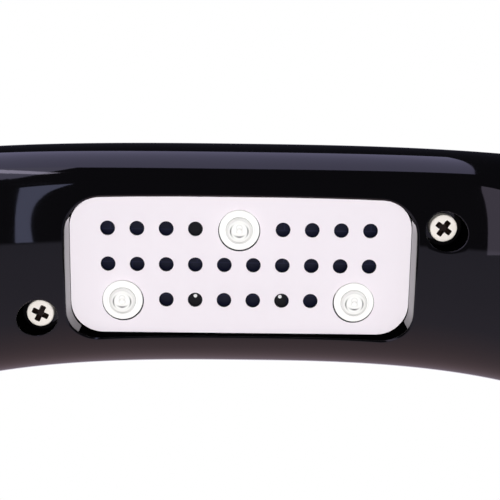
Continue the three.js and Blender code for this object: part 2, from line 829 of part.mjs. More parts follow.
makeLowerShell();
makeUpperShell();
makeReflectorPlate();
makeLightBoard();
makeEmitters();
makeChipResistors();
makeScrews();
makeControlBoard();
makePowerInlet();
makeTimerChip();
makeBoardParts();
makeWires();
makeButton();
makeSwitch();
makeFeet();

export default lamp;
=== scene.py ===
"""Looks of a small arch-shaped nail lamp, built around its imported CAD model.

Laid out as an add-on and run as a script. Lengths are metres in the frame of the CAD model: x runs
along the span, y across the arch, z up, and the feet stand on z = 0.
"""

import json
from typing import NamedTuple

import bmesh
import bpy
import numpy as np
from bpy.props import FloatProperty, FloatVectorProperty, PointerProperty
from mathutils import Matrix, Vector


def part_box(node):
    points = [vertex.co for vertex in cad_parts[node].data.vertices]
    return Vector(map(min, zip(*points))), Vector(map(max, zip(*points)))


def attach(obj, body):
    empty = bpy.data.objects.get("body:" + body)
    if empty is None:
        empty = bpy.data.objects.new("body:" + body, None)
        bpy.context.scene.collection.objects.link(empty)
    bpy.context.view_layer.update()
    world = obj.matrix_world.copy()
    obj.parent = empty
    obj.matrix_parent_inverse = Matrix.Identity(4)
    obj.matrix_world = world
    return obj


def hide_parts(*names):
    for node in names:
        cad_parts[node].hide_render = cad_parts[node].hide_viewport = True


bl_info = {
    "name": "Nail lamp",
    "version": (1, 0, 0),
    "blender": (4, 5, 0),
    "location": "3D View > Sidebar > Lamp",
    "description": "Builds the looks of a small nail lamp around its CAD model",
    "category": "Object",
}

MM = 0.001

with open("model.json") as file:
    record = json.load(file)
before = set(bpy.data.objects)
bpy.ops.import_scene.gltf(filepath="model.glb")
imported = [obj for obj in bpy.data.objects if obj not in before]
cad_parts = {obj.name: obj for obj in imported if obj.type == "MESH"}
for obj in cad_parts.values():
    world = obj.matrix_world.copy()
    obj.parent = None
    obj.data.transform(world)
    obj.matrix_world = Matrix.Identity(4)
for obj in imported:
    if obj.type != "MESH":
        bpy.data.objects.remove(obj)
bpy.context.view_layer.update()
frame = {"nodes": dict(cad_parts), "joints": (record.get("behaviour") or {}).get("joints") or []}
plate_low, plate_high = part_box("reflector_plate")

# Fineness of the meshes
HALVINGS = 46
SECTION_STEPS = 100
CROWN_STEPS = 136
LEG_STEPS = 44
ROUNDING_STEPS = 6
RING_ROWS = 3
WALL_ROWS = 4
SWEEP_STEPS = 72
HOLLOW_STEPS = 40
CORNER_STEPS = 12
FINE_CORNER_STEPS = 3
PROFILE_STEPS = 5
TURNED_SIDES = 72
FOOT_SIDES = 48
ROD_SIDES = 48
THREAD_STEPS = 6
DOME_STEPS = 16
SHOULDER_STEPS = 8
POLE = 0.05 * MM  # a turned piece is closed by a lid of this radius at its axis
HEAD_POLE = 0.02 * MM
WELD = 1e-8
NEAR_LINE = 0.4  # an even line this near to a wanted one gives way to it, as a share of the spacing
SHARP = np.radians(32)
# Steepest rise of the normals of faces that count as upright, and as the wall of a hole
UPRIGHT = 0.3
HOLE_WALL = 0.5


def length(name, millimetres, description):
    """A length of the lamp, which is given in millimetres."""
    return FloatProperty(
        name=name, description=description, default=millimetres * MM, unit="LENGTH", precision=5
    )


def number(name, default, description):
    """A plain number, such as an exponent."""
    return FloatProperty(name=name, description=description, default=default)


def turned_by(name, default, description):
    """An angle."""
    return FloatProperty(name=name, description=description, default=default, unit="ROTATION")


def colour(name, default, description):
    """A colour of a finish, in linear red, green and blue."""
    return FloatVectorProperty(
        name=name, description=description, default=default, subtype="COLOR", min=0, max=1
    )


class HousingSizes(bpy.types.PropertyGroup):
    """Sizes of the two shells."""

    arch_half_span: length("Half span", 72, "Middle to the parting line at the end of a leg")
    arch_rise: length("Rise", 40, "End of a leg to the parting line at the crown")
    arch_squareness: number("Squareness", 2.7, "Exponent of the arch's curve")
    half_width: length("Half width", 23.6, "Half of the housing across the arch")
    lower_depth: length("Lower depth", 15.9, "Parting line to the underside at the crown")
    lower_foot_depth: length("Lower foot depth", 12.5, "The same at the end of a leg")
    lower_roundness: number("Lower roundness", 2.5, "Exponent of the underside's section")
    upper_depth: length("Upper depth", 7.8, "Parting line to the top at the crown")
    upper_foot_depth: length("Upper foot depth", 6.5, "The same at the end of a leg")
    upper_roundness: number("Upper roundness", 2.2, "Exponent of the top's section")
    wall: length("Wall", 2.2, "Thickness of the shells")
    parting_gap: length("Parting gap", 0.3, "Between the edges of the two shells")
    foot_lift: length("Foot lift", 1.2, "Ends of the legs above the table")
    edge_rounding: length("Edge rounding", 0.2, "Rounding of the edges at the parting line")
    end_rounding: length("End rounding", 0.4, "Rounding of the ends of the legs")
    crown_reach: length("Crown reach", 50, "Middle to the start of the legs' own grid")
    overrun: length("Overrun", 2, "Cutters reach this far past what they cut")
    overlap: length("Overlap", 0.3, "Cutters that meet reach this far into each other")
    tongue_inset: length("Tongue inset", 0.15, "Rib inside the parting line, from the inner wall")
    tongue_thickness: length("Tongue thickness", 0.7, "Thickness of that rib")
    tongue_height: length("Tongue height", 1.3, "Rib above the parting line")
    tongue_gap: length("Tongue gap", 0.3, "Room round the rib in the upper shell")
    tongue_end: length("Tongue end", 4.2, "Rib short of the end of a leg")


class WellSizes(bpy.types.PropertyGroup):
    """Sizes of the well under the crown and of its reflector plate."""

    end_gap: length("End gap", 0.03, "Plate to the well at its ends")
    side_gap: length("Side gap", 0.25, "The same along the sides")
    corner_radius: length("Corner radius", 6.6, "Corners of the plate and the well")
    rim_bevel: length("Rim bevel", 0.35, "Bevelled rim of the well")
    rim_easing: length("Rim easing", 0.08, "Its eased edges")
    rim_margin_end: length("Rim margin at the ends", 0.8, "Well to the border of its own grid")
    rim_margin_side: length("Rim margin at the sides", 1.5, "The same along the sides")
    wall: length("Wall", 1.6, "Thickness of the well's wall")
    seat_gap: length("Seat gap", 0.1, "Plate to its ledge")
    ledge_width: length("Ledge width", 1.4, "Width of the ledge")
    ledge_thickness: length("Ledge thickness", 1.2, "Thickness of the ledge")
    hole_pitch: length("Hole pitch", 6, "Between the holes of a row")
    row_pitch: length("Row pitch", 7.55, "Between the rows of holes")
    hole_radius: length("Hole radius", 1.52, "Small holes of the plate")
    hole_rounding: length("Hole rounding", 0.06, "Rounded edges of the plate")
    lens_opening: length("Lens opening", 4.32, "Radius of the openings round the lenses")
    lens_setback: length("Lens setback", 0.3, "Middle of an opening behind its lens")
    middle_row_half: length("Middle row", 2.3, "Half of the middle row's cells")
    outer_row_reach: length("Outer row", 12.8, "Middle of the plate to the outer cells' border")


class ScrewSizes(bpy.types.PropertyGroup):
    """Sizes of the screws that hold the shells together, and of their counterbores."""

    head_radius: length("Head radius", 2.75, "Screw's head")
    head_height: length("Head height", 2, "Screw's head")
    head_rim: length("Head rim", 0.55, "Upright rim of the head")
    shank_radius: length("Shank radius", 1.3, "Thread's outer radius")
    thread_depth: length("Thread depth", 0.22, "Depth of the thread")
    thread_pitch: length("Thread pitch", 1.1, "Pitch of the thread")
    length: length("Length", 10, "Seat to the tip")
    point_radius: length("Point radius", 0.2, "Blunt point")
    left_turn: turned_by("Left turn", np.pi / 7, "How the left screw's cross is turned")
    right_turn: turned_by("Right turn", np.pi / 5.1, "How the right screw's cross is turned")
    cross_length: length("Cross length", 3.5, "Cross at the face of the head")
    cross_width: length("Cross width", 1.15, "Arms of the cross")
    cross_depth: length("Cross depth", 1.2, "Cross below the face")
    cross_skin: length("Cross skin", 0.05, "Its bright edge")
    head_edge: length("Head edge", 0.35, "Rounded edge of the head")
    counterbore_radius: length("Counterbore radius", 3.9, "Deep holes of the heads")
    counterbore_rounding: length("Counterbore rounding", 0.16, "Rounded mouth")
    counterbore_margin: length("Counterbore margin", 5.35, "Middle to the border of its grid")
    counterbore_floor: length("Counterbore floor", 2, "Seat of a head to the inside")
    seat_gap: length("Seat gap", 0.1, "Head to its seat")
    boss_wall: length("Boss wall", 1.7, "Thickness round a screw")
    fit_gap: length("Fit gap", 0.3, "Round a shank that passes freely")
    thread_gap: length("Thread gap", 0.25, "Round a thread in its boss")
    light_post_radius: length("Light post radius", 2.9, "Posts of the light board")
    light_pilot_radius: length("Light pilot radius", 1.2, "Holes in these posts")
    light_pilot_depth: length("Light pilot depth", 3.7, "Depth of these holes")
    control_pilot_radius: length("Control pilot radius", 1.2, "Holes in the control bosses")
    control_boss_radius: length("Control boss radius", 2.9, "Bosses of the control board")


class LensSizes(bpy.types.PropertyGroup):
    """Sizes of the stepped lenses."""

    radius: length("Radius", 4.15, "Flange")
    flange: length("Flange", 0.5, "Thickness of the flange")
    dome_radius: length("Dome radius", 2.75, "Foot of the dome")
    shoulder: length("Shoulder", 0.75, "Height of the dome's shoulder")
    top_radius: length("Top radius", 1.65, "Flat ring at the top")
    dimple_radius: length("Dimple radius", 0.65, "Dimple in the middle")
    dimple_depth: length("Dimple depth", 0.35, "Dimple in the middle")
    rounding: length("Rounding", 0.14, "Edges of the steps")


class ButtonSizes(bpy.types.PropertyGroup):
    """Sizes of the button in the crown."""

    radius: length("Radius", 5.4, "Button")
    crown: length("Crown", 0.5, "Rise of the domed top")
    dome_roundness: number("Dome roundness", 2.6, "Exponent of the domed top's curve")
    flange: length("Flange", 1.2, "Rim that keeps it inside")
    flange_thickness: length("Flange thickness", 0.9, "The same")
    stem_radius: length("Stem radius", 1.5, "Stem that presses the switch")
    gap: length("Gap", 0.3, "Round the button")
    hole_margin: length("Hole margin", 2.3, "Hole to the border of its grid")
    hole_rounding: length("Hole rounding", 0.35, "Rounded edge of the hole")
    rounding: length("Rounding", 0.3, "Edges of the button")


class SmallSizes(bpy.types.PropertyGroup):
    """Sizes of the feet and of the power inlet."""

    foot_edge: length("Foot edge", 0.5, "Rounded edge of a foot")
    foot_groove: length("Foot groove", 0.25, "Depth of the ring in a foot")
    foot_gap: length("Foot gap", 0.3, "Round a foot in its recess")
    foot_recess: length("Foot recess", 0.9, "Depth of that recess")
    inlet_margin: length("Inlet margin", 0.5, "Inlet to its hole in the wall")
    inlet_skin: length("Inlet skin", 0.35, "Sheet of the inlet's can")
    inlet_corner: length("Inlet corner", 0.8, "Corners of the can")
    inlet_tongue: length("Inlet tongue", 0.6, "Thickness of the contact tongue")
    inlet_recess: length("Inlet recess", 1, "Mouth inside the back wall")


class StageSizes(bpy.types.PropertyGroup):
    """Camera and light."""

    camera_place: FloatVectorProperty(
        name="Camera place", description="Where the photograph was taken from",
        default=(-0.001247, -0.055004, -0.191577), subtype="XYZ", unit="LENGTH",
    )
    camera_turn: FloatVectorProperty(
        name="Camera turn", description="How the camera is turned",
        default=tuple(np.radians((166.802, 0.622, -0.85))), subtype="EULER", unit="ROTATION",
    )
    lens: number("Lens", 79.2, "Focal length in millimetres on a 36 mm sensor")
    fill: number("Fill", 0.85, "Even light from above on matt surfaces")
    fill_below: number("Fill below", 0.02, "The same from below")
    flash: number("Flash", 0.8, "Light from beside the camera on matt surfaces")
    key: number("Key", 0.7, "Brightness of the softbox below")
    overhead: number("Overhead", 1.0, "Brightness of the softbox above")
    dark_side: colour("Dark side", (0.02, 0.02, 0.03), "Surroundings before the lamp")
    near_side: colour("Near side", (0.33, 0.31, 0.42), "Surroundings just behind straight down")
    pale_side: colour("Pale side", (0.44, 0.39, 0.51), "Surroundings behind the lamp")
    warm_side: colour("Warm side", (0.76, 0.54, 0.6), "Surroundings level behind the lamp")
    cards: number("Cards", 1.0, "Brightness of the reflecting cards")


# Basic forms


class Patches:
    """Collects grids of points, to be welded into one closed mesh."""

    def __init__(self):
        self.points = []
        self.faces = []
        self.count = 0

    def grid(self, points, keep=None, ring=False):
        """Adds a grid, rows by columns by three, with a four-sided face in each cell that is kept.

        A cell's corners are its own point and the next along the row, the column and both; in a
        ring the last column joins the first.
        """
        rows, columns = points.shape[:2]
        index = self.count + np.arange(rows * columns).reshape(rows, columns)
        if ring:
            index = np.concatenate([index, index[:, :1]], 1)
        cells = np.stack([index[:-1, :-1], index[1:, :-1], index[1:, 1:], index[:-1, 1:]], -1)
        cells = cells.reshape(-1, 4) if keep is None else cells[keep]
        self.points.append(points.reshape(-1, 3))
        self.faces.extend(cells.tolist())
        self.count += rows * columns

    def lid(self, points):
        """Adds a flat face with many corners."""
        self.points.append(points)
        self.faces.append(list(range(self.count, self.count + len(points))))
        self.count += len(points)

    def loft(self, loops):
        """Adds a closed form through loops of points, with a lid at each end."""
        self.grid(np.stack(loops), ring=True)
        self.lid(loops[0])
        self.lid(loops[-1])

    def to_object(self, name, closed=True):
        """Welds points that share a place and turns every face of a closed form outward."""
        points = np.concatenate(self.points)
        places = np.round(points / WELD).astype(np.int64)
        _, first, own = np.unique(places, axis=0, return_index=True, return_inverse=True)
        own = own.reshape(-1)
        mesh = bpy.data.meshes.new(name)
        mesh.from_pydata(points[first], [], [own[face].tolist() for face in self.faces])
        if closed:
            turn_outward(mesh)
        piece = bpy.data.objects.new(name, mesh)
        bpy.context.scene.collection.objects.link(piece)
        return piece


def turn_outward(mesh):
    """Recalculates the normals of a closed mesh, without changing its shape."""
    work = bmesh.new()
    work.from_mesh(mesh)
    bmesh.ops.recalc_face_normals(work, faces=work.faces)
    work.to_mesh(mesh)
    work.free()


def rounded_away(distance, radius):
    """How far a rounded edge has fallen at a distance inside it: a quarter circle, then nothing."""
    share = np.clip(1 - distance / radius, 0, 1)
    return radius * (1 - np.sqrt(1 - share**2))


def with_lines(even, wanted):
    """Evenly spaced values, with those next to a wanted value replaced by it."""
    spacing = even[1] - even[0]
    clear = np.abs(even[:, None] - wanted[None, :]).min(1) > spacing * NEAR_LINE
    return np.unique(np.concatenate([even[clear], wanted]))


def outline(half_length, half_width, radius, steps=CORNER_STEPS):
    """Rounded rectangle: each corner's quarter circle, about the corner's own middle."""
    turn = np.linspace(0, np.pi / 2, steps + 1)
    corner = np.arange(4)[:, None]
    angle = (turn[None, :] + corner * np.pi / 2).reshape(-1)
    x_side = np.repeat([1, -1, -1, 1], steps + 1)
    y_side = np.repeat([1, 1, -1, -1], steps + 1)
    x = x_side * (half_length - radius) + radius * np.cos(angle)
    y = y_side * (half_width - radius) + radius * np.sin(angle)
    return np.stack([x, y], 1)


def circle(radius, place):
    """Points evenly spaced round a circle."""
    angle = np.linspace(0, 2 * np.pi, ROD_SIDES, endpoint=False)
    return np.stack([place[0] + radius * np.cos(angle), place[1] + radius * np.sin(angle)], 1)


def at_height(flat, height):
    """Flat points lifted to a height, which may be one for all or one each."""
    return np.concatenate([flat, np.broadcast_to(height, flat.shape[:-1])[..., None]], -1)


def standing(flat, y, middle):
    """An outline set upright at a y, about a height."""
    return np.stack([flat[:, 0], np.full(len(flat), y), middle + flat[:, 1]], 1)


def lofted(name, loops):
    """A closed form through loops of points, as an object of its own."""
    patches = Patches()
    patches.loft(loops)
    return patches.to_object(name)


def prism(flat, bottom, top):
    """An outline carried straight up."""
    return lofted("cutter", [at_height(flat, bottom), at_height(flat, top)])


def rods(places):
    """Several upright rods that don't touch, each given as x, y, radius, bottom and top."""
    patches = Patches()
    for x, y, radius, bottom, top in places:
        flat = circle(radius, (x, y))
        patches.loft([at_height(flat, bottom), at_height(flat, top)])
    return patches.to_object("cutter")


def carve(piece, cutter, operation="DIFFERENCE"):
    """Cuts a closed piece by another, joins them or keeps what they share, and drops the other."""
    modifier = piece.modifiers.new("carve", "BOOLEAN")
    modifier.operation = operation
    modifier.solver = "MANIFOLD"
    modifier.object = cutter
    bpy.context.view_layer.update()
    carved = piece.evaluated_get(bpy.context.evaluated_depsgraph_get())
    mesh = bpy.data.meshes.new_from_object(carved)
    piece.modifiers.clear()
    old = piece.data
    piece.data = mesh
    bpy.data.meshes.remove(old)
    bpy.data.objects.remove(cutter)
    if not len(mesh.polygons):
        raise RuntimeError(f"nothing is left of {piece.name}")


def rounded_profile(corners):
    """Profile of radius and height with its corners eased.

    Each corner is given with its rounding, and becomes a quadratic curve between the points at
    that distance along its two sides.
    """
    sharp = np.array([corner[:2] for corner in corners], float)
    share = np.linspace(0, 1, PROFILE_STEPS + 1)[:, None]
    rows = [sharp[:1]]
    for before, corner, after, (_, _, rounding) in zip(sharp, sharp[1:], sharp[2:], corners[1:]):
        if rounding == 0:
            rows.append(corner[None])
            continue
        start = corner + (before - corner) / np.linalg.norm(before - corner) * rounding
        end = corner + (after - corner) / np.linalg.norm(after - corner) * rounding
        rows.append((1 - share) ** 2 * start + 2 * share * (1 - share) * corner + share**2 * end)
    rows.append(sharp[-1:])
    return np.concatenate(rows)


def finely(profile, step):
    """The same profile with its longer stretches divided evenly."""
    rows = [profile[:1]]
    for before, after in zip(profile, profile[1:]):
        count = max(1, int(np.ceil(np.linalg.norm(after - before) / step)))
        rows.append(before + (after - before) * (np.arange(1, count + 1) / count)[:, None])
    return np.concatenate(rows)


def turned(name, profile, place=(0, 0), sides=TURNED_SIDES):
    """A profile of radius and height carried round an upright axis, with a lid at each end."""
    angle = np.linspace(0, 2 * np.pi, sides, endpoint=False)
    x = place[0] + profile[:, :1] * np.cos(angle)
    y = place[1] + profile[:, :1] * np.sin(angle)
    return lofted(name, np.stack([x, y, np.broadcast_to(profile[:, 1:], x.shape)], -1))


def dress(piece, material, body, slot, *nodes):
    """Gives a new piece its finish and smooth shading, and puts it in the place of CAD nodes."""
    piece.data.materials.clear()
    piece.data.materials.append(material)
    piece.data.shade_smooth()
    piece.data.set_sharp_from_angle(angle=SHARP)
    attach(piece, body)
    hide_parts(*nodes)


def face_places(piece):
    """Middles and normals of a mesh's faces, as whole arrays."""
    faces = piece.data.polygons
    middles, normals = np.empty(3 * len(faces)), np.empty(3 * len(faces))
    faces.foreach_get("center", middles)
    faces.foreach_get("normal", normals)
    return middles.reshape(-1, 3), normals.reshape(-1, 3)


def mark(piece, material, chosen):
    """Gives the chosen faces a finish of their own."""
    piece.data.materials.append(material)
    slots = np.where(chosen, len(piece.data.materials) - 1, 0).astype(np.int32)
    piece.data.polygons.foreach_set("material_index", slots)


# Housing

FEET = ("foot_left_front", "foot_left_back", "foot_right_front", "foot_right_back")


class Face(NamedTuple):
    """One half's outer face; side is -1 under the parting line and 1 over it."""

    depth: float
    foot_depth: float
    roundness: float
    side: int


class Opening(NamedTuple):
    """A hole in a face: its middle, half sizes, corner radius and the profile of its edge.

    The lid is the height at which it ends, and the tile the part of the face's grid that it takes.
    """

    middle: tuple
    half_length: float
    half_width: float
    radius: float
    profile: np.ndarray
    lid: float
    tile: tuple


def lower_face(h):
    """The concave face under the parting line."""
    return Face(h.lower_depth, h.lower_foot_depth, h.lower_roundness, -1)


def upper_face(h):
    """The outer face over the parting line."""
    return Face(h.upper_depth, h.upper_foot_depth, h.upper_roundness, 1)


def arch_at(h, angle):
    """The parting line's arch: a superellipse.

    x is the half span times the sine to the power 2 / squareness, z the rise times the cosine.
    The lean is the arch's outward direction from upright, and the last value, the sine to the
    fourth, says how far down a leg the place is.
    """
    power = 2 / h.arch_squareness
    sine = np.abs(np.sin(angle))
    run = h.arch_half_span * power * np.cos(angle)
    fall = h.arch_rise * sine ** (2 - power)
    x = np.sign(angle) * h.arch_half_span * sine**power
    z = h.foot_lift + h.arch_rise * np.cos(angle)
    return x, z, np.sign(angle) * np.arctan2(fall, run), sine**4


def on_face(h, face, angle, share, inset=0):
    """x and z of a face: from the arch, square to it, by a share of the face's depth."""
    x, z, lean, leg = arch_at(h, angle)
    start = h.parting_gap / 2
    depth = face.depth + (face.foot_depth - face.depth) * leg - inset
    outward = face.side * (start + (depth - start) * share)
    return x + outward * np.sin(lean), z + outward * np.cos(lean)


def angle_over(h, face, x, share):
    """The arch's angle at which a face's point with that share has that x, by halving."""
    low = np.full(np.broadcast(x, share).shape, -np.pi / 2)
    high = -low
    for _ in range(HALVINGS):
        middle = (low + high) / 2
        short = on_face(h, face, middle, share)[0] < x
        low = np.where(short, middle, low)
        high = np.where(short, high, middle)
    return (low + high) / 2


def height_over(h, face, x, y):
    """Height of a face over x and y; its share across is a superellipse of y."""
    share = (1 - np.abs(y / h.half_width) ** face.roundness) ** (1 / face.roundness)
    return on_face(h, face, angle_over(h, face, x, share), share)[1]


def section_turns(h, face, lines):
    """Angles round half a section: even ones, those of the lines across, and the edges' own."""
    room = face.depth - h.parting_gap / 2
    edge = h.edge_rounding * np.linspace(0, 1, ROUNDING_STEPS)[1:] / room
    edge = np.arcsin(edge ** (face.roundness / 2))
    across = np.sign(lines) * np.abs(lines / h.half_width) ** (face.roundness / 2)
    wanted = np.concatenate([[0, np.pi], edge, np.pi - edge, np.arccos(across)])
    return with_lines(np.linspace(0, np.pi, SECTION_STEPS + 1), wanted)


def face_grid(h, face, x_lines, y_lines):
    """A half's outer face on one grid of stations along the arch by points round the section.

    Across, y is the half width times the cosine to the power 2 / roundness, and the share of the
    depth is the sine to the same power. Near the crown a station has one x; down a leg it moves
    from there to the leg's end. Edges at the parting line and at the ends are rounded.
    """
    turn = section_turns(h, face, y_lines)
    share = np.abs(np.sin(turn)) ** (2 / face.roundness)
    share[[0, -1]] = 0
    across = np.sign(np.cos(turn)) * np.abs(np.cos(turn)) ** (2 / face.roundness) * h.half_width
    even = np.linspace(-h.crown_reach, h.crown_reach, CROWN_STEPS + 1)
    crown_x = with_lines(even, np.concatenate([x_lines, even[[0, -1]]]))
    crown = angle_over(h, face, crown_x[:, None], share[None, :])

    leg = np.linspace(0, 0.98, LEG_STEPS + 1)[1:, None]
    leg = crown[-1] + (np.pi / 2 - crown[-1]) * leg
    end = np.linspace(1, 0, ROUNDING_STEPS + 1) * h.end_rounding / (h.arch_rise - h.upper_depth)
    end = np.broadcast_to(np.pi / 2 - end[:, None], (len(end), len(share)))
    leg = np.concatenate([leg, end])
    angle = np.concatenate([-leg[::-1], crown, leg])

    height = on_face(h, face, angle, share)[1] - h.foot_lift
    inset = rounded_away(height, h.end_rounding)
    x, z = on_face(h, face, angle, share, inset)
    edge = rounded_away((face.depth - h.parting_gap / 2) * share, h.edge_rounding)
    y = across * (1 - inset / h.half_width) - np.sign(across) * edge
    return np.stack([x, y, z], -1), len(leg), crown_x, across


def opening_edge(opening, flat):
    """Nearest point of an opening's edge, and the direction away from it.

    The edge is at one radius from a core rectangle, so the direction runs from the nearest point
    of that core.
    """
    reach = np.array([opening.half_length, opening.half_width]) - opening.radius
    core = np.clip(flat - opening.middle, -reach, reach)
    away = flat - opening.middle - core
    away /= np.linalg.norm(away, axis=-1, keepdims=True)
    return opening.middle + core + away * opening.radius, away


def rounded_edge(radius):
    """Profile of an edge as a quarter circle.

    At angle a it is r - r cos a away from the wall and r - r sin a inside the face.
    """
    turn = np.linspace(0, np.pi / 2, ROUNDING_STEPS + 1)
    return radius * np.stack([1 - np.cos(turn), 1 - np.sin(turn)], 1)


def bevelled_edge(size, easing):
    """The same with a flat bevel between two eased corners."""
    corners = [(0, size + easing, 0), (0, size, easing), (size, 0, easing), (size + easing, 0, 0)]
    return rounded_profile(corners)[1:-1]


def add_opening(patches, h, face, opening, border):
    """A ring of cells from a border in the face's grid to an opening, with its edge and its wall."""
    edge, away = opening_edge(opening, border[:, :2])
    out, inside = opening.profile.T
    near = edge + away * out[:, None, None]
    step = np.linspace(0, 1, RING_ROWS + 1)[1:-1, None, None]
    far = near[-1] + (border[:, :2] - near[-1]) * step
    flat = np.concatenate([near, far])
    height = height_over(h, face, flat[..., 0], flat[..., 1])
    height[: len(out)] -= face.side * inside[:, None]
    ring = np.concatenate([at_height(flat, height), border[None]])
    patches.grid(ring, ring=True)

    share = np.linspace(0, 1, WALL_ROWS + 1)[:, None]
    heights = ring[0, :, 2] * (1 - share) + opening.lid * share
    wall = at_height(np.broadcast_to(edge, (len(share), *edge.shape)), heights)
    patches.grid(wall, ring=True)
    patches.lid(wall[-1])


def nearest(values, wanted):
    """Index of the value nearest to the wanted one."""
    return int(np.argmin(np.abs(values - wanted)))


def housing_block(name, h, face, openings):
    """One half of the housing as a closed block, with blind openings in its outer face."""
    x_lines = np.array([x for opening in openings for x in opening.tile[:2]])
    y_lines = np.array([y for opening in openings for y in opening.tile[2:]])
    points, first, crown_x, across = face_grid(h, face, np.unique(x_lines), np.unique(y_lines))
    keep = np.ones((points.shape[0] - 1, points.shape[1] - 1), bool)
    patches = Patches()
    for opening in openings:
        x_low, x_high, y_low, y_high = opening.tile
        a, b = first + nearest(crown_x, x_low), first + nearest(crown_x, x_high)
        c, d = nearest(across, y_high), nearest(across, y_low)
        keep[a:b, c:d] = False
        border = np.concatenate([
            points[a:b, c], points[b, c:d], points[b:a:-1, d], points[a, d:c:-1],
        ])
        add_opening(patches, h, face, opening, border)
    patches.grid(points, keep)
    patches.grid(np.stack([points[:, 0], points[:, -1]], 1))
    patches.lid(points[0])
    patches.lid(points[-1])
    return patches.to_object(name)


def swept(h, section_at, end):
    """A closed section carried along the arch between two angles, with flat lids.

    The section gives distances across and outward for how far down a leg it is; a point is the
    arch's, moved outward along the lean.
    """
    angle = np.linspace(-end, end, SWEEP_STEPS + 1)[:, None]
    x, z, lean, leg = arch_at(h, angle)
    across, outward = section_at(leg)
    across = np.broadcast_to(across, outward.shape)
    points = [x + outward * np.sin(lean), across, z + outward * np.cos(lean)]
    return lofted("cutter", np.stack(points, -1))


def end_angle(h, past):
    """The arch's angle at a height above the ends of the legs."""
    return np.arccos(past / h.arch_rise)


def hollow(h, face):
    """The hollow in a half: its section less the wall, carried on past the parting line."""
    inner = h.half_width - h.wall
    turn = np.linspace(0, np.pi, HOLLOW_STEPS + 1)
    share = np.abs(np.sin(turn)) ** (2 / face.roundness)
    across = inner * np.sign(np.cos(turn)) * np.abs(np.cos(turn)) ** (2 / face.roundness)
    start = h.parting_gap / 2

    def section(leg):
        depth = face.depth + (face.foot_depth - face.depth) * leg - h.wall
        outward = face.side * (start + (depth - start) * share)
        lip = np.full((len(leg), 1), -face.side * h.overrun)
        return np.concatenate([[inner], across, [-inner]]), np.concatenate([lip, outward, lip], 1)

    return swept(h, section, end_angle(h, h.wall))


def edge_strip(h, near, far, low, high, end):
    """A strip along one long edge, between two distances across and two outward."""

    def section(leg):
        across = np.array([near, far, far, near])
        return across, np.broadcast_to([low, low, high, high], (len(leg), 4))

    return swept(h, section, end)


def middle_of(name):
    """Middle of a CAD node, seen from above."""
    low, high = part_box(name)
    return (low.x + high.x) / 2, (low.y + high.y) / 2


def pair(kind):
    """The left and the right CAD node of a kind."""
    return f"{kind}_left", f"{kind}_right"


def shell_screw_seats(s):
    """Place and seat of each shell screw, whose head looks down."""
    lift = s.head_height + s.seat_gap
    return [(*middle_of(name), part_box(name)[0].z + lift) for name in pair("shell_screw")]


def ceiling_height(h):
    """Height of the upper shell's inside at the crown."""
    return h.foot_lift + h.arch_rise + h.upper_depth - h.wall


def inlet_hole(s):
    """The opening for the power inlet: a rounded outline carried through the back wall."""
    low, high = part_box("power_inlet")
    margin = s.inlet_margin
    half_x = (high.x - low.x) / 2 + margin
    half_z = (high.z - low.z) / 2 + margin
    flat = outline(half_x, half_z, s.inlet_corner + margin)
    middle = (low.z + high.z) / 2
    far = high.y + s.inlet_recess + s.foot_recess
    return lofted("cutter", [standing(flat, y, middle) for y in (low.y, far)])


def well_half_sizes(w):
    """Half length and half width of the well."""
    half_length = (plate_high.x - plate_low.x) / 2 + w.end_gap
    half_width = (plate_high.y - plate_low.y) / 2 + w.side_gap
    return np.array([half_length, half_width])


def lower_openings(w, s, seats, ledge):
    """The well and the counterbores, each with the tile of the face's grid that it takes."""
    half_length, half_width = well_half_sizes(w)
    middle = middle_of("reflector_plate")
    end_x, end_y = half_length + w.rim_margin_end, half_width + w.rim_margin_side
    openings = [Opening(
        middle, half_length, half_width, w.corner_radius, bevelled_edge(w.rim_bevel, w.rim_easing),
        ledge, (-end_x, end_x, middle[1] - end_y, middle[1] + end_y),
    )]
    radius, margin = s.counterbore_radius, s.counterbore_margin
    for x, y, seat in seats:
        far = abs(x) + margin
        x_low, x_high = (end_x, far) if x > 0 else (-far, -end_x)
        openings.append(Opening(
            (x, y), radius, radius, radius, rounded_edge(s.counterbore_rounding), seat,
            (x_low, x_high, y - margin, y + margin),
        ))
    return openings


def lower_space(h, w, s, seats, tray_top):
    """The hollow of the lower half, less the tray round the well and the posts of the screws."""
    space = hollow(h, lower_face(h))
    tray = outline(*(well_half_sizes(w) + w.wall), w.corner_radius + w.wall)
    carve(space, prism(tray + middle_of("reflector_plate"), h.foot_lift, tray_top))
    for x, y, seat in seats:
        post = s.counterbore_radius + s.boss_wall
        carve(space, rods([(x, y, post, h.foot_lift, seat + s.counterbore_floor)]))
    light_posts = [
        (*middle_of(name), s.light_post_radius, h.foot_lift, tray_top) for name in pair("light_screw")
    ]
    carve(space, rods(light_posts))
    return space


def lower_holes(h, s, small, seats, tray_top):
    """Rods for the holes of the screws and the recesses of the feet."""
    passing = s.shank_radius + s.fit_gap
    deep = s.counterbore_floor + h.overrun
    holes = [(x, y, passing, seat - h.overlap, seat + deep) for x, y, seat in seats]
    low, high = tray_top - s.light_pilot_depth, tray_top + h.overrun
    holes += [(*middle_of(name), s.light_pilot_radius, low, high) for name in pair("light_screw")]
    return holes + [foot_recess(h, small, foot) for foot in FEET]


def add_tongue(shell, h):
    """The locating rib inside the parting line, along both long edges."""
    near = h.half_width - h.wall + h.tongue_inset
    far = near + h.tongue_thickness
    end = end_angle(h, h.tongue_end)
    for side in (-1, 1):
        strip = edge_strip(h, side * near, side * far, -h.tongue_height, h.tongue_height, end)
        carve(shell, strip, "UNION")


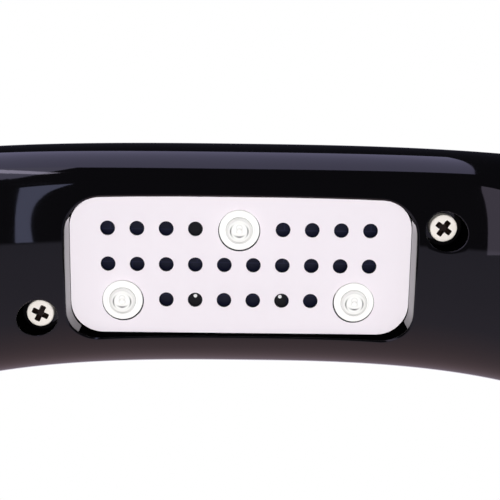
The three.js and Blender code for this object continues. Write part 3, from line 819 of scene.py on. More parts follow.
def make_lower_shell(scene):
    """The concave half: a block with its well and counterbores, hollowed round its tray and posts."""
    h, w, s, small = scene.lamp_housing, scene.lamp_well, scene.lamp_screws, scene.lamp_small
    seats = shell_screw_seats(s)
    ledge = plate_high.z + w.seat_gap
    tray_top = ledge + w.ledge_thickness
    shell = housing_block("lower_housing", h, lower_face(h), lower_openings(w, s, seats, ledge))
    carve(shell, lower_space(h, w, s, seats, tray_top))
    opening = outline(*(well_half_sizes(w) - w.ledge_width), w.corner_radius - w.ledge_width)
    opening += middle_of("reflector_plate")
    carve(shell, prism(opening, ledge - h.overlap, tray_top + h.overrun))
    carve(shell, rods(lower_holes(h, s, small, seats, tray_top)))
    add_tongue(shell, h)
    carve(shell, inlet_hole(small))
    dress(shell, gloss_black(scene), "housing", "black_housing", "lower_shell")
    # The well's long sides and the counterbores' walls get matt black with painted shade.
    mark(shell, dull_black(scene), dull_painted_shade_faces(shell, scene, seats))


# Where the corners of the well turn dull and take painted shade, as the share across of their radius
DULL_FRONT = 0.3
DULL_BACK_RIGHT = 0.5
DULL_BACK_LEFT = 0.74


def dull_painted_shade_faces(shell, scene, seats):
    """Upright faces of the well's long sides and of the counterbores, as a choice of faces that get
    painted shade.

    A face of the well is at the corner radius from its core rectangle.
    """
    w, s = scene.lamp_well, scene.lamp_screws
    middles, normals = face_places(shell)
    flat = middles[:, :2] - middle_of("reflector_plate")
    past = np.clip(np.abs(flat) - (well_half_sizes(w) - w.corner_radius), 0, None)
    upright = np.abs(normals[:, 2]) < UPRIGHT
    near = np.abs(np.hypot(past[:, 0], past[:, 1]) - w.corner_radius) < w.rim_easing
    back = np.where(flat[:, 0] > 0, DULL_BACK_RIGHT, DULL_BACK_LEFT)
    share = np.where(flat[:, 1] < 0, DULL_FRONT, back)
    chosen = near & (past[:, 1] > w.corner_radius * share)
    for x, y, _ in seats:
        radius = np.hypot(middles[:, 0] - x, middles[:, 1] - y)
        chosen |= np.abs(radius - s.counterbore_radius) < s.counterbore_rounding / 2
    return chosen & upright & (middles[:, 2] < plate_high.z + s.head_height)


def make_upper_shell(scene):
    """The outer half: a block with the button's hole, hollowed round its bosses."""
    h, s, b = scene.lamp_housing, scene.lamp_screws, scene.lamp_button
    face = upper_face(h)
    radius = b.radius + b.gap
    tile = radius + b.hole_margin
    top = h.foot_lift + h.arch_rise + h.upper_depth
    hole = Opening(
        (0, 0), radius, radius, radius, rounded_edge(b.hole_rounding), ceiling_height(h) - h.overlap,
        (-tile, tile, -tile, tile),
    )
    shell = housing_block("upper_housing", h, face, [hole])

    space = hollow(h, face)
    boss = s.shank_radius + s.thread_gap + s.boss_wall
    for x, y, _ in shell_screw_seats(s):
        carve(space, rods([(x, y, boss, h.foot_lift, top)]))
    board_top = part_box("control_board")[1].z
    for name in pair("control_screw"):
        carve(space, rods([(*middle_of(name), s.control_boss_radius, board_top, top)]))
    carve(shell, space)
    inner = h.half_width - h.wall
    for side in (-1, 1):
        groove = edge_strip(
            h, side * (inner - h.overrun),
            side * (inner + h.tongue_inset + h.tongue_thickness + h.tongue_gap),
            -h.overrun, h.tongue_height + h.tongue_gap, end_angle(h, h.wall),
        )
        carve(shell, groove)
    add_bosses(shell, scene)
    carve(shell, inlet_hole(scene.lamp_small))
    dress(shell, gloss_black(scene), "housing", "black_housing", "upper_shell")


def add_bosses(shell, scene):
    """Carries the screw bosses down past the parting line, and drills the bosses."""
    h, s = scene.lamp_housing, scene.lamp_screws
    pilot = s.shank_radius + s.thread_gap
    for x, y, seat in shell_screw_seats(s):
        bottom = seat + s.counterbore_floor + s.seat_gap
        middle = height_over(h, upper_face(h), np.array(x), np.array(y)) - h.wall
        carve(shell, rods([(x, y, pilot + s.boss_wall, bottom, float(middle))]), "UNION")
        carve(shell, rods([(x, y, pilot, bottom - h.overrun, seat + s.length + s.fit_gap)]))
    board_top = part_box("control_board")[1].z
    for name in pair("control_screw"):
        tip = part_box(name)[1].z + s.fit_gap
        carve(shell, rods([(*middle_of(name), s.control_pilot_radius, board_top - h.overrun, tip)]))


def foot_recess(h, s, name):
    """A foot's round recess, as a rod to cut."""
    low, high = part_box(name)
    radius = (high.x - low.x) / 2 + s.foot_gap
    return (*middle_of(name), radius, 0, h.foot_lift + s.foot_recess)


# Finishes


NOISE_SPREAD = (0.3, 0.7)  # most of a soft noise's values
# Painted shade: the dull plastic is drawn darker than the glossy one.
DULL_PAINTED_SHADE = 0.5  # the dull plastic's colour as a share of the glossy one's


def node(tree, kind, inputs=None, **settings):
    """Adds a shader node; an input is a socket to link from, or a value."""
    new = tree.nodes.new(kind)
    for key, value in settings.items():
        setattr(new, key, value)
    for key, value in (inputs or {}).items():
        if isinstance(value, bpy.types.NodeSocket):
            tree.links.new(value, new.inputs[key])
        else:
            new.inputs[key].default_value = value
    return new


def mixed(tree, share, first, second):
    """Blends two colours by a share."""
    return node(tree, "ShaderNodeMix", {0: share, 6: first, 7: second}, data_type="RGBA").outputs[2]


def reckoned(tree, operation, *values):
    """One step of arithmetic."""
    return node(tree, "ShaderNodeMath", dict(enumerate(values)), operation=operation).outputs[0]


def remapped(tree, value, source, target=(0, 1), kind="LINEAR"):
    """Carries a value from one range to another."""
    return node(tree, "ShaderNodeMapRange", {
        "Value": value, "From Min": source[0], "From Max": source[1],
        "To Min": target[0], "To Max": target[1],
    }, interpolation_type=kind).outputs["Result"]


def object_place(tree):
    """The object's own coordinates."""
    return node(tree, "ShaderNodeTexCoord").outputs["Object"]


def shader_of(made):
    """A finish's main shader."""
    return made.node_tree.nodes["Principled BSDF"]


def tint_where(made, share, shade):
    """Turns a finish to another colour by a share."""
    base = shader_of(made).inputs["Base Color"]
    blend = mixed(made.node_tree, share, base.links[0].from_socket, (*shade, 1))
    made.node_tree.links.new(blend, base)


def finish(name, colours, roughness, grain, bump, bump_grain=None, **sockets):
    """A finish whose colour and roughness drift over soft noise, with a fine bump.

    Colours and roughness are given as two ends. The grain and the bump are lengths, and the
    noise reads the object's own coordinates.
    """
    if name in bpy.data.materials:
        return bpy.data.materials[name]
    made = bpy.data.materials.new(name)
    made.use_nodes = True
    tree, shader = made.node_tree, shader_of(made)
    place = object_place(tree)
    soft = node(tree, "ShaderNodeTexNoise", {
        "Vector": place, "Scale": 1 / grain, "Detail": 3.0,
    }).outputs["Fac"]
    fine = node(tree, "ShaderNodeTexNoise", {
        "Vector": place, "Scale": 1 / (bump_grain or grain / 8), "Detail": 2.0,
    }).outputs["Fac"]
    relief = node(tree, "ShaderNodeBump", {"Height": fine, "Strength": 1.0, "Distance": bump})
    blend = mixed(tree, soft, (*colours[0], 1), (*colours[1], 1))
    tree.links.new(blend, shader.inputs["Base Color"])
    tree.links.new(remapped(tree, soft, NOISE_SPREAD, roughness), shader.inputs["Roughness"])
    tree.links.new(relief.outputs["Normal"], shader.inputs["Normal"])
    for key, value in sockets.items():
        shader.inputs[key.replace("_", " ")].default_value = value
    return made


class Finishes(bpy.types.PropertyGroup):
    """Colours of the finishes."""

    black: colour("Black", (0.0022, 0.0020, 0.0024), "Glossy black plastic of the housing")
    silver: colour("Silver", (0.86, 0.798, 0.851), "Bright plated reflector plate")
    lens: colour("Lens", (0.97, 0.96, 0.94), "Clear lenses")
    nickel: colour("Nickel", (0.93, 0.87, 0.8), "Screws")
    navy: colour("Navy", (0.0045, 0.0052, 0.013), "Light board")
    green: colour("Green", (0.01, 0.09, 0.03), "Control board")
    white: colour("White", (0.78, 0.78, 0.8), "Button")


def gloss_black(scene):
    """Moulded gloss plastic, a little uneven."""
    base = np.array(scene.lamp_finishes.black)
    return finish(
        "gloss_black", (base, base * 1.15), (0.035, 0.055), 9 * MM, 0.0004 * MM, 1.6 * MM, IOR=1.5,
    )


def dull_black(scene):
    """The same plastic made matt and darker, as painted shade on walls that lie in shade."""
    base = np.array(scene.lamp_finishes.black) * DULL_PAINTED_SHADE
    made = finish("dull_black", (base, base * 1.15), (0.3, 0.4), 9 * MM, 0.001 * MM, 1.6 * MM, IOR=1.5)
    shader_of(made).inputs["Specular IOR Level"].default_value = 0
    return made


def bright_silver(scene):
    """Plated sheet: nearly a mirror, with a faint waviness."""
    base = np.array(scene.lamp_finishes.silver)
    return finish("bright_silver", (base, base * 0.985), (0.3, 0.36), 7 * MM, 0.0006 * MM, 2 * MM)


def clear_lens(scene):
    """Clear moulded resin, drawn pale, whose steps and back get painted shade as grey rings: its own
    attribute says how grey.
    """
    if "clear_lens" in bpy.data.materials:
        return bpy.data.materials["clear_lens"]
    base = np.array(scene.lamp_finishes.lens)
    made = finish("clear_lens", (base, base * 0.98), (0.05, 0.09), 3 * MM, 0.001 * MM, IOR=1.45)
    grey = node(made.node_tree, "ShaderNodeAttribute", attribute_name="grey")
    tint_where(made, grey.outputs["Fac"], base * PAINTED_RING_SHADE)
    return made


# Painted shade: a lens's rings are grey stand-ins for the shade at its steps and its rim.
PAINTED_RING_SHADE = 0.03  # a lens's darkest grey, as a share of its colour
# Rings of painted shade on a lens in millimetres: radius, width, middle toward the back; then how grey
# they are all round, at the sides and at the back
PAINTED_LENS_SHADE_RINGS = (
    (3.15, 0.09, 0, 0.08, 0.08, 0),
    (2.35, 0.1, 0, 0.12, 0, 0.25),
    (1.78, 0.14, 0, 0.04, 0.85, 0),
    (1.75, 0.16, -0.6, 0.04, 0, 1),
    (0.6, 0.09, -0.75, 0.2, 0, 0),
)


def paint_lens_shade(lens, x, y):
    """Writes the painted shade of a lens, as how grey each point is: a bell curve of its radius for
    each ring.

    A ring's level is a sum: its grey all round, that at the sides by the fifth power of the sine
    from the back, and that at the back by the eighth power of the cosine.
    """
    points = np.empty(3 * len(lens.data.vertices))
    lens.data.vertices.foreach_get("co", points)
    flat = (points.reshape(-1, 3)[:, :2] - (x, y)) / MM
    grey = np.zeros(len(flat))
    for size, width, middle, around, sides, back in PAINTED_LENS_SHADE_RINGS:
        across, along = flat[:, 0], flat[:, 1] - middle
        radius = np.maximum(np.hypot(across, along), 0.01)
        level = around + sides * np.abs(across / radius) ** 5
        level += back * np.clip(along / radius, 0, 1) ** 8
        grey += np.exp(-(((radius - size) / width) ** 2)) * level
    lens.data.attributes.new("grey", "FLOAT", "POINT").data.foreach_set("value", np.clip(grey, 0, 1))


def nickel(scene):
    """Plated steel with the marks of tumbling."""
    base = np.array(scene.lamp_finishes.nickel)
    return finish(
        "nickel", (base, base * 0.94), (0.3, 0.4), 0.7 * MM, 0.002 * MM, 0.25 * MM, Metallic=0.15,
    )


METAL = {"Metallic": 1.0}
# Finishes of the smaller pieces: two colours, two roughnesses, grain and bump in millimetres, and
# other sockets. The recess shade is painted shade down in the screws' crosses, and the hole shade
# painted shade on the walls of the plate's holes.
PLAIN = {
    "dark_recess": (
        ((0.014, 0.008, 0.006), (0.008, 0.005, 0.004)), (0.25, 0.4), 0.5, 0.003,
        {"Specular_IOR_Level": 0.15},
    ),
    "dark_edge": (((0.03, 0.026, 0.034), (0.02, 0.018, 0.024)), (0.4, 0.5), 2, 0.001, {}),
    "emitter_body": (((0.82, 0.8, 0.74), (0.76, 0.74, 0.68)), (0.4, 0.55), 1, 0.004, {}),
    "tin": (((0.62, 0.62, 0.64), (0.5, 0.5, 0.52)), (0.2, 0.4), 0.8, 0.004, METAL),
    "chip_black": (((0.012, 0.012, 0.013), (0.018, 0.018, 0.019)), (0.45, 0.6), 0.6, 0.006, {}),
    "aluminium_can": (((0.55, 0.56, 0.58), (0.62, 0.63, 0.65)), (0.25, 0.35), 2, 0.003, METAL),
    "red_jacket": (((0.36, 0.012, 0.012), (0.3, 0.01, 0.01)), (0.4, 0.5), 2, 0.004, {}),
    "black_jacket": (((0.008, 0.008, 0.009), (0.012, 0.012, 0.013)), (0.4, 0.5), 2, 0.004, {}),
    "soft_rubber": (((0.014, 0.014, 0.014), (0.02, 0.02, 0.02)), (0.75, 0.9), 1, 0.01, {}),
}


def plain(name):
    """One of the finishes in the list above."""
    colours, roughness, grain, bump, sockets = PLAIN[name]
    return finish(name, colours, roughness, grain * MM, bump * MM, **sockets)


def board_finish(name, colour_, copper):
    """A printed board: lacquer over copper, which shows as paler tracks on a grid of bricks."""
    if name in bpy.data.materials:
        return bpy.data.materials[name]
    base = np.array(colour_)
    made = finish(name, (base, base * 1.3), (0.3, 0.45), 4 * MM, 0.002 * MM)
    tree, shader = made.node_tree, shader_of(made)
    tracks = node(tree, "ShaderNodeTexBrick", {
        "Vector": object_place(tree), "Scale": 1.0,
        "Color1": (*base, 1), "Color2": (*base * 1.2, 1), "Mortar": (*base * copper, 1),
        "Brick Width": 9 * MM, "Row Height": 3.5 * MM, "Mortar Size": 0.15 * MM, "Mortar Smooth": 0.3,
    })
    tree.links.new(tracks.outputs["Color"], shader.inputs["Base Color"])
    shader.inputs["Specular IOR Level"].default_value = 0.2
    return made


# CAD nodes that keep their shape, by the finish that they get
CARRIED = {
    "emitter_body": ("emitter_left", "emitter_middle", "emitter_right"),
    "tin": (*pair("control_screw"), *pair("light_screw")),
    "chip_black": ("timer_chip", "power_transistor", "choke_coil", "switch_body", "switch_plunger"),
    "aluminium_can": ("capacitor",),
    "red_jacket": ("wire_red",),
    "black_jacket": ("wire_black",),
}


# Painted glints on solder: radii in millimetres, and middle as a share of a chip's length from the
# front
SOLDER_GLINT_RADII = {"chip_resistor_1": 0, "chip_resistor_2": 0.38, "chip_resistor_3": 0.38}
SOLDER_GLINT_PLACE = 0.12
SOLDER_GLINT_COLOUR = (0.75, 0.75, 0.75)


def chip_finish(name):
    """A chip resistor: black, with a pale spot of solder at the front, a painted glint, where the photo
    shows one.
    """
    low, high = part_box(name)
    colours = ((0.006, 0.006, 0.007), (0.01, 0.01, 0.012))
    made = finish(f"{name}_black", colours, (0.3, 0.45), 0.6 * MM, 0.004 * MM)
    tree = made.node_tree
    spot = ((low.x + high.x) / 2, low.y + (high.y - low.y) * SOLDER_GLINT_PLACE, low.z)
    distance = node(
        tree, "ShaderNodeVectorMath", {0: object_place(tree), 1: spot}, operation="DISTANCE",
    ).outputs["Value"]
    # Painted glint: a pale spot of solder
    tint_where(made, reckoned(tree, "LESS_THAN", distance, SOLDER_GLINT_RADII[name] * MM), SOLDER_GLINT_COLOUR)
    shader_of(made).inputs["Specular IOR Level"].default_value = 0.15
    return made


def coat_node(name, material):
    """Gives a CAD node its finish through its slots."""
    for slot in frame["nodes"][name].material_slots:
        slot.material = material


# Plate

LENSES = ("lens_left", "lens_middle", "lens_right")
HOLE_COLUMNS = 10
COLUMN_STEPS = 8
OUTER_ROW_STEPS = 12
MIDDLE_ROW_STEPS = 6


def plate_rows(w):
    """Rows of cells: y of the holes, the cells' two borders, and the steps between these."""
    return (
        (-w.row_pitch, -w.outer_row_reach, -w.middle_row_half, OUTER_ROW_STEPS),
        (0, -w.middle_row_half, w.middle_row_half, MIDDLE_ROW_STEPS),
        (w.row_pitch, w.middle_row_half, w.outer_row_reach, OUTER_ROW_STEPS),
    )


def cell_border(x_low, x_high, y_low, y_high, x_steps, y_steps):
    """Points round a rectangular cell, evenly spaced along each side."""
    x = np.linspace(x_low, x_high, x_steps + 1)
    y = np.linspace(y_low, y_high, y_steps + 1)
    return np.concatenate([
        np.stack([x[:-1], np.full(x_steps, y_low)], 1),
        np.stack([np.full(y_steps, x_high), y[:-1]], 1),
        np.stack([x[:0:-1], np.full(x_steps, y_high)], 1),
        np.stack([np.full(y_steps, x_low), y[:0:-1]], 1),
    ])


def add_plate_cell(patches, border, edge, away, rounding):
    """A cell of the plate: its face, the rounded edges and wall of its hole, and its back.

    The rows run from the border over the face to the hole, up its wall and back to the border.
    """
    low, high = plate_low.z, plate_high.z
    turn = np.linspace(0, np.pi / 2, ROUNDING_STEPS)
    out = rounding * (1 - np.cos(turn[::-1]))
    inside = rounding * (1 - np.sin(turn[::-1]))
    near = edge + away * out[:, None, None]
    face = [at_height(flat, low + deep) for flat, deep in zip(near, inside)]
    back = [at_height(flat, high - deep) for flat, deep in zip(near[::-1], inside[::-1])]
    rows = [at_height(border, low), *face, *back, at_height(border, high)]
    patches.grid(np.stack(rows), ring=True)


def make_reflector_plate(scene):
    """The perforated plate: a grid of cells with a hole in each, inside a frame with round corners.

    A cell with a lens takes two columns.
    """
    w = scene.lamp_well
    pitch = w.hole_pitch
    lenses = [middle_of(name) for name in LENSES]
    shift = lenses[1][0]
    patches = Patches()
    for y, y_low, y_high, steps in plate_rows(w):
        for column in range(HOLE_COLUMNS):
            x = shift + (column - (HOLE_COLUMNS - 1) / 2) * pitch
            taken = [
                lens for lens in lenses if abs(lens[1] - y) < pitch / 2 and abs(lens[0] - x) < pitch
            ]
            if taken and taken[0][0] < x:
                continue
            x_low, x_high = x - pitch / 2, x + pitch / 2
            middle, radius, x_steps = (x, y), w.hole_radius, COLUMN_STEPS
            if taken:
                x_high += pitch
                middle, radius = taken[0] + np.array([0, w.lens_setback]), w.lens_opening
                x_steps *= 2
            border = cell_border(x_low, x_high, y_low, y_high, x_steps, steps)
            away = border - middle
            away /= np.linalg.norm(away, axis=1, keepdims=True)
            add_plate_cell(patches, border, middle + away * radius, away, w.hole_rounding)
    add_plate_frame(patches, w, shift)
    plate = patches.to_object("perforated_plate")
    dress(plate, bright_silver(scene), "housing", "reflector", "reflector_plate")
    middles, normals = face_places(plate)
    wall = np.abs(normals[:, 2]) < HOLE_WALL
    # The walls of the holes get painted shade, a dark stand-in for the shade inside them.
    mark(plate, plain("dark_edge"), wall & (np.abs(middles[:, 1]) < w.outer_row_reach))


def round_four_sides(x, side_y, y, side_x):
    """A loop of a run along x at its y, a run along y at its x, and the two opposite them."""
    return np.concatenate([
        np.stack([x[:-1], -side_y[:-1]], 1), np.stack([side_x[:-1], y[:-1]], 1),
        np.stack([x[:0:-1], side_y[:0:-1]], 1), np.stack([-side_x[:0:-1], y[:0:-1]], 1),
    ])


def add_plate_frame(patches, w, shift):
    """The plate outside its cells: each side of the cells' border goes to a quarter of the outline.

    A quarter runs from the middle of one corner's arc to the middle of the next. The straight part
    and the two half arcs share it evenly by length.
    """
    half_length, half_width = (plate_high.x - plate_low.x) / 2, (plate_high.y - plate_low.y) / 2
    radius = w.corner_radius
    reach = HOLE_COLUMNS * w.hole_pitch / 2
    runs = [np.linspace(low, high, steps + 1)[:-1] for _, low, high, steps in plate_rows(w)]
    y_lines = np.concatenate([*runs, [w.outer_row_reach]])
    x_lines = np.linspace(-reach, reach, HOLE_COLUMNS * COLUMN_STEPS + 1)
    sides = (
        (x_lines, half_length - radius, half_width - radius, w.outer_row_reach),
        (y_lines, half_width - radius, half_length - radius, reach),
    )
    borders, edges, inwards = [], [], []
    for along, straight, past, border in sides:
        arc = radius * np.pi / 4
        run = along / along[-1] * (straight + arc)
        bent = np.clip(np.abs(run) - straight, 0, None) / radius
        sine, cosine = np.sign(run) * np.sin(bent), np.cos(bent)
        borders += [along, np.full_like(along, border)]
        flat_run = np.sign(run) * np.minimum(np.abs(run), straight)
        edges += [flat_run + radius * sine, past + radius * cosine]
        inwards += [sine, cosine]
    border = round_four_sides(*borders) + (shift, 0)
    edge = round_four_sides(*edges) + middle_of("reflector_plate")
    add_plate_cell(patches, border, edge, -round_four_sides(*inwards), w.hole_rounding)


# Lenses, screws, button, feet and inlet


DIMPLE_FLOOR = 0.7  # radius of the dimple's floor as a share of its mouth's


def make_lenses(scene):
    """Stepped lenses: a flange, a domed shoulder, a flat ring and a dimple."""
    s = scene.lamp_lens
    for name in LENSES:
        low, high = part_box(name)
        tip, back = low.z, high.z
        step = back - s.flange
        turn = np.linspace(0, np.pi / 2, SHOULDER_STEPS + 1)
        shoulder = np.stack([
            s.top_radius + (s.dome_radius - s.top_radius) * np.sin(turn),
            tip + s.shoulder * (1 - np.cos(turn)),
        ], 1)
        corners = [
            (POLE, tip + s.dimple_depth, 0),
            (s.dimple_radius * DIMPLE_FLOOR, tip + s.dimple_depth, s.dimple_radius / 2),
            (s.dimple_radius, tip, s.rounding),
            (s.top_radius, tip, 0),
        ]
        middle = rounded_profile(corners)[:-1]
        rim = rounded_profile([
            (s.dome_radius, tip + s.shoulder, 0),
            (s.dome_radius, step, s.rounding),
            (s.radius, step, s.rounding),
            (s.radius, back, 0),
            (POLE, back, 0),
        ])[1:]
        profile = finely(np.concatenate([middle, shoulder, rim]), s.rounding / 3)
        lens = turned(f"stepped_{name}", profile, middle_of(name))
        paint_lens_shade(lens, *middle_of(name))
        dress(lens, clear_lens(scene), "housing", "lens", name)


# Painted shade darkens the head inside the cross, out to the reach below.
CROSS_REACH = 0.6  # how far from the axis a head is dark inside, as a share of the cross's length
ARM_CORNER = 0.4  # corner radius of an arm as a share of its half width
# Stations of a cross: share of its length, and height below the face as a share of its depth
CROSS_STATIONS = ((1.25, -0.4), (1.0, 0), (0.5, 1))


def cross_cutter(s, x, y, face, turn):
    """A cross that narrows with depth: each arm is a bar whose foot is smaller than its mouth."""
    bars = []
    for angle in (turn, turn + np.pi / 2):
        spin = np.array([[np.cos(angle), np.sin(angle)], [-np.sin(angle), np.cos(angle)]])
        rows = []
        for share, deep in CROSS_STATIONS:
            half = np.array([s.cross_length, s.cross_width]) / 2 * np.array([share, 0.5 + share / 2])
            flat = outline(*half, half[1] * ARM_CORNER, FINE_CORNER_STEPS)
            rows.append(at_height(flat @ spin + (x, y), face + deep * s.cross_depth))
        bars.append(lofted("cutter", rows))
    carve(bars[0], bars[1], "UNION")
    return bars[0]


def screw_profile(s, face):
    """A flat head with a round edge, a shank that ripples as a thread does, and a point.

    The thread's radius falls by its depth times half of one less the cosine of the run.
    """
    head = rounded_profile([
        (HEAD_POLE, face, 0), (s.head_radius, face, s.head_edge), (s.head_radius, face + s.head_rim, 0),
    ])
    seat = face + s.head_height
    step = s.thread_pitch / THREAD_STEPS
    run = np.arange(0, s.length - s.shank_radius, step)
    wave = 0.5 - 0.5 * np.cos(2 * np.pi * run / s.thread_pitch)
    shank = np.stack([s.shank_radius - s.thread_depth * wave, seat + run], 1)
    point = [[s.shank_radius, seat + run[-1] + step], [s.point_radius, seat + s.length]]
    return np.concatenate([head, [[s.head_radius, seat]], shank, point])


def make_shell_screws(scene):
    """Cross-head screws, each with its cross turned as it was left, with painted shade inside the
    cross.
    """
    s = scene.lamp_screws
    for side, turn in (("left", s.left_turn), ("right", s.right_turn)):
        name = f"shell_screw_{side}"
        x, y = middle_of(name)
        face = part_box(name)[0].z
        screw = turned(f"cross_screw_{side}", screw_profile(s, face), (x, y))
        carve(screw, cross_cutter(s, x, y, face, turn))
        dress(screw, nickel(scene), "housing", "screw_nickel", name)
        middles, _ = face_places(screw)
        inside = np.hypot(middles[:, 0] - x, middles[:, 1] - y) < s.cross_length * CROSS_REACH
        inside &= (middles[:, 2] > face + s.cross_skin) & (middles[:, 2] < face + s.head_height)
        # Painted shade inside the cross, below its edge
        mark(screw, plain("dark_recess"), inside)


def make_button(scene):
    """The button: a domed cap, its rim and its stem.

    Radius and rise of the dome are a cosine and a sine to the power 2 / roundness.
    """
    s = scene.lamp_button
    low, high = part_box("button_cap")
    travel = frame["joints"][0]["range_m"][1]
    flange_top = ceiling_height(scene.lamp_housing) - s.gap - travel
    flange_low = flange_top - s.flange_thickness
    rim = high.z - s.crown
    angle = np.linspace(0, np.pi / 2, DOME_STEPS + 1)[:-1]
    power = 2 / s.dome_roundness
    dome = np.stack([
        s.radius * np.cos(angle) ** power, rim + s.crown * np.sin(angle) ** power,
    ], 1)
    foot = rounded_profile([
        (POLE, low.z, 0),
        (s.stem_radius, low.z, s.rounding),
        (s.stem_radius, flange_low, 0),
        (s.radius + s.flange, flange_low, s.rounding / 2),
        (s.radius + s.flange, flange_top, s.rounding / 2),
        (s.radius, flange_top, 0),
        (s.radius, rim, 0),
    ])[:-1]
    profile = np.concatenate([foot, dome, [[POLE, high.z]]])
    cap = turned("timer_button", profile)
    base = np.array(scene.lamp_finishes.white)
    satin = finish("white_button", (base, base * 0.96), (0.25, 0.35), 2 * MM, 0.002 * MM)
    dress(cap, satin, "button", "button", "button_cap")


# Ring in a foot's face, as shares of its radius
RING_INNER = 0.42
RING_OUTER = 0.55


def make_feet(scene):
    """Rubber feet: discs with a rounded edge and a ring pressed into the face."""
    s = scene.lamp_small
    for name in FEET:
        low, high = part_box(name)
        radius = (high.x - low.x) / 2
        profile = rounded_profile([
            (POLE, low.z + s.foot_groove, 0),
            (radius * RING_INNER, low.z + s.foot_groove, s.foot_groove / 2),
            (radius * RING_OUTER, low.z, s.foot_groove / 2),
            (radius, low.z, s.foot_edge),
            (radius, high.z, 0),
            (POLE, high.z, 0),
        ])
        foot = turned(f"rubber_{name}", profile, middle_of(name), FOOT_SIDES)
        dress(foot, plain("soft_rubber"), "housing", "rubber", name)


def make_power_inlet(scene):
    """The inlet's can: an outline carried into the wall and turned in at its mouth, with a tongue."""
    s = scene.lamp_small
    low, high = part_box("power_inlet")
    half_x, half_z = (high.x - low.x) / 2, (high.z - low.z) / 2
    middle = (low.z + high.z) / 2
    flare = s.inlet_skin / 2
    stations = (
        (0, low.y), (0, high.y - flare), (flare, high.y), (s.inlet_skin, high.y - flare),
        (s.inlet_skin, low.y + s.inlet_skin),
    )
    can = lofted("power_socket", [
        standing(outline(half_x - inset, half_z - inset, s.inlet_corner - inset), y, middle)
        for inset, y in stations
    ])
    flat = outline(half_x / 2, s.inlet_tongue / 2, s.inlet_tongue / 5, FINE_CORNER_STEPS)
    ends = (low.y + flare, high.y - s.inlet_skin)
    carve(can, lofted("cutter", [standing(flat, y, middle) for y in ends]), "UNION")
    dress(can, plain("tin"), "housing", "component_metal", "power_inlet")


# Stage

SENSOR_WIDTH = 36
WHITE = (1, 1, 1, 1)
HORIZON = (-0.1, 0.1)  # heights of a direction between which the light from above fades out
FLOOR_REACH = 1.5
FLOOR_STEPS = 24
FLOOR_SHADE = (0.82, 0.82, 0.82, 1)
FLOOR_FADE = (0.15, 0.7)  # distances from the lamp between which the floor turns white
OVERHEAD_PLACE, OVERHEAD_SIZE = (0, 0.35, 0.6), (0.5, 0.4)
AIM_HEIGHT = 0.03  # the two lights from below face this height over the table
KEY_LEAN, KEY_DISTANCE, KEY_SIZE = np.radians(15), 0.5, (0.231, 0.176)
FLASH_LEAN, FLASH_DISTANCE, FLASH_SIDE = np.radians(-9), 0.6, 0.03
GLINT_PLACE, GLINT_LEAN, GLINT_SIZE = (-0.037, -0.0515, 0.0212), np.radians(35), (0.017, 0.0022)
GLINT_LEVEL, GLINT_TINT = 3.2, (0.85, 0.78, 1)


def add_card(name, place, turn, size, radiance, diffuse=False, tint=(1, 1, 1)):
    """A soft box or a reflecting card as an area light, at a brightness per area."""
    light = bpy.data.lights.new(name, "AREA")
    light.shape = "RECTANGLE"
    light.size, light.size_y = size
    light.energy = 4 * size[0] * size[1] * radiance
    light.color = tint
    card = bpy.data.objects.new(name, light)
    card.location = place
    card.rotation_euler = turn
    card.visible_camera = False
    card.visible_diffuse = diffuse
    bpy.context.scene.collection.objects.link(card)
    return card


def shape_card(light, along, bounds):
    """Cuts a card to a shape with curved sides.

    A side is a parabola: x = edge + bend times the square of (along - middle) / reach. The card
    is bright only to the left of a side that is given as 1, or to the right of one given as -1.
    """
    light.use_nodes = True
    tree = light.node_tree
    place = node(tree, "ShaderNodeNewGeometry").outputs["Position"]
    parts = node(tree, "ShaderNodeSeparateXYZ", {0: place})
    strength = 1.0
    for side, edge, bend, middle, reach in bounds:
        run = reckoned(tree, "SUBTRACT", parts.outputs[along], middle)
        square = reckoned(tree, "MULTIPLY", run, run)
        line = reckoned(tree, "MULTIPLY_ADD", square, bend / reach**2, edge)
        kind = "LESS_THAN" if side > 0 else "GREATER_THAN"
        inside = reckoned(tree, kind, parts.outputs["X"], line)
        strength = reckoned(tree, "MULTIPLY", inside, strength)
    tree.links.new(strength, tree.nodes["Emission"].inputs["Strength"])


def light_from_below(name, lean, distance, size, radiance):
    """A light below the lamp that leans back by an angle, and faces the aim height over the origin."""
    place = (0, distance * np.sin(lean), AIM_HEIGHT - distance * np.cos(lean))
    return add_card(name, place, (np.pi + lean, 0, 0), size, radiance, diffuse=True)


def add_flash(s):
    """A small lamp beside the camera, so that its shadows fall behind what the camera sees.

    Its radiance times its area over the square of its distance gives pi times the flash.
    """
    radiance = s.flash * np.pi * FLASH_DISTANCE**2 / FLASH_SIDE**2
    size = (FLASH_SIDE, FLASH_SIDE)
    flash = light_from_below("flash", FLASH_LEAN, FLASH_DISTANCE, size, radiance)
    flash.visible_glossy = False


def make_camera(s):
    """The photograph's camera."""
    data = bpy.data.cameras.new("camera")
    data.sensor_width = SENSOR_WIDTH
    data.lens = s.lens
    data.clip_start = 5 * MM
    camera = bpy.data.objects.new("camera", data)
    camera.location = s.camera_place
    camera.rotation_euler = s.camera_turn
    bpy.context.scene.collection.objects.link(camera)
    bpy.context.scene.camera = camera


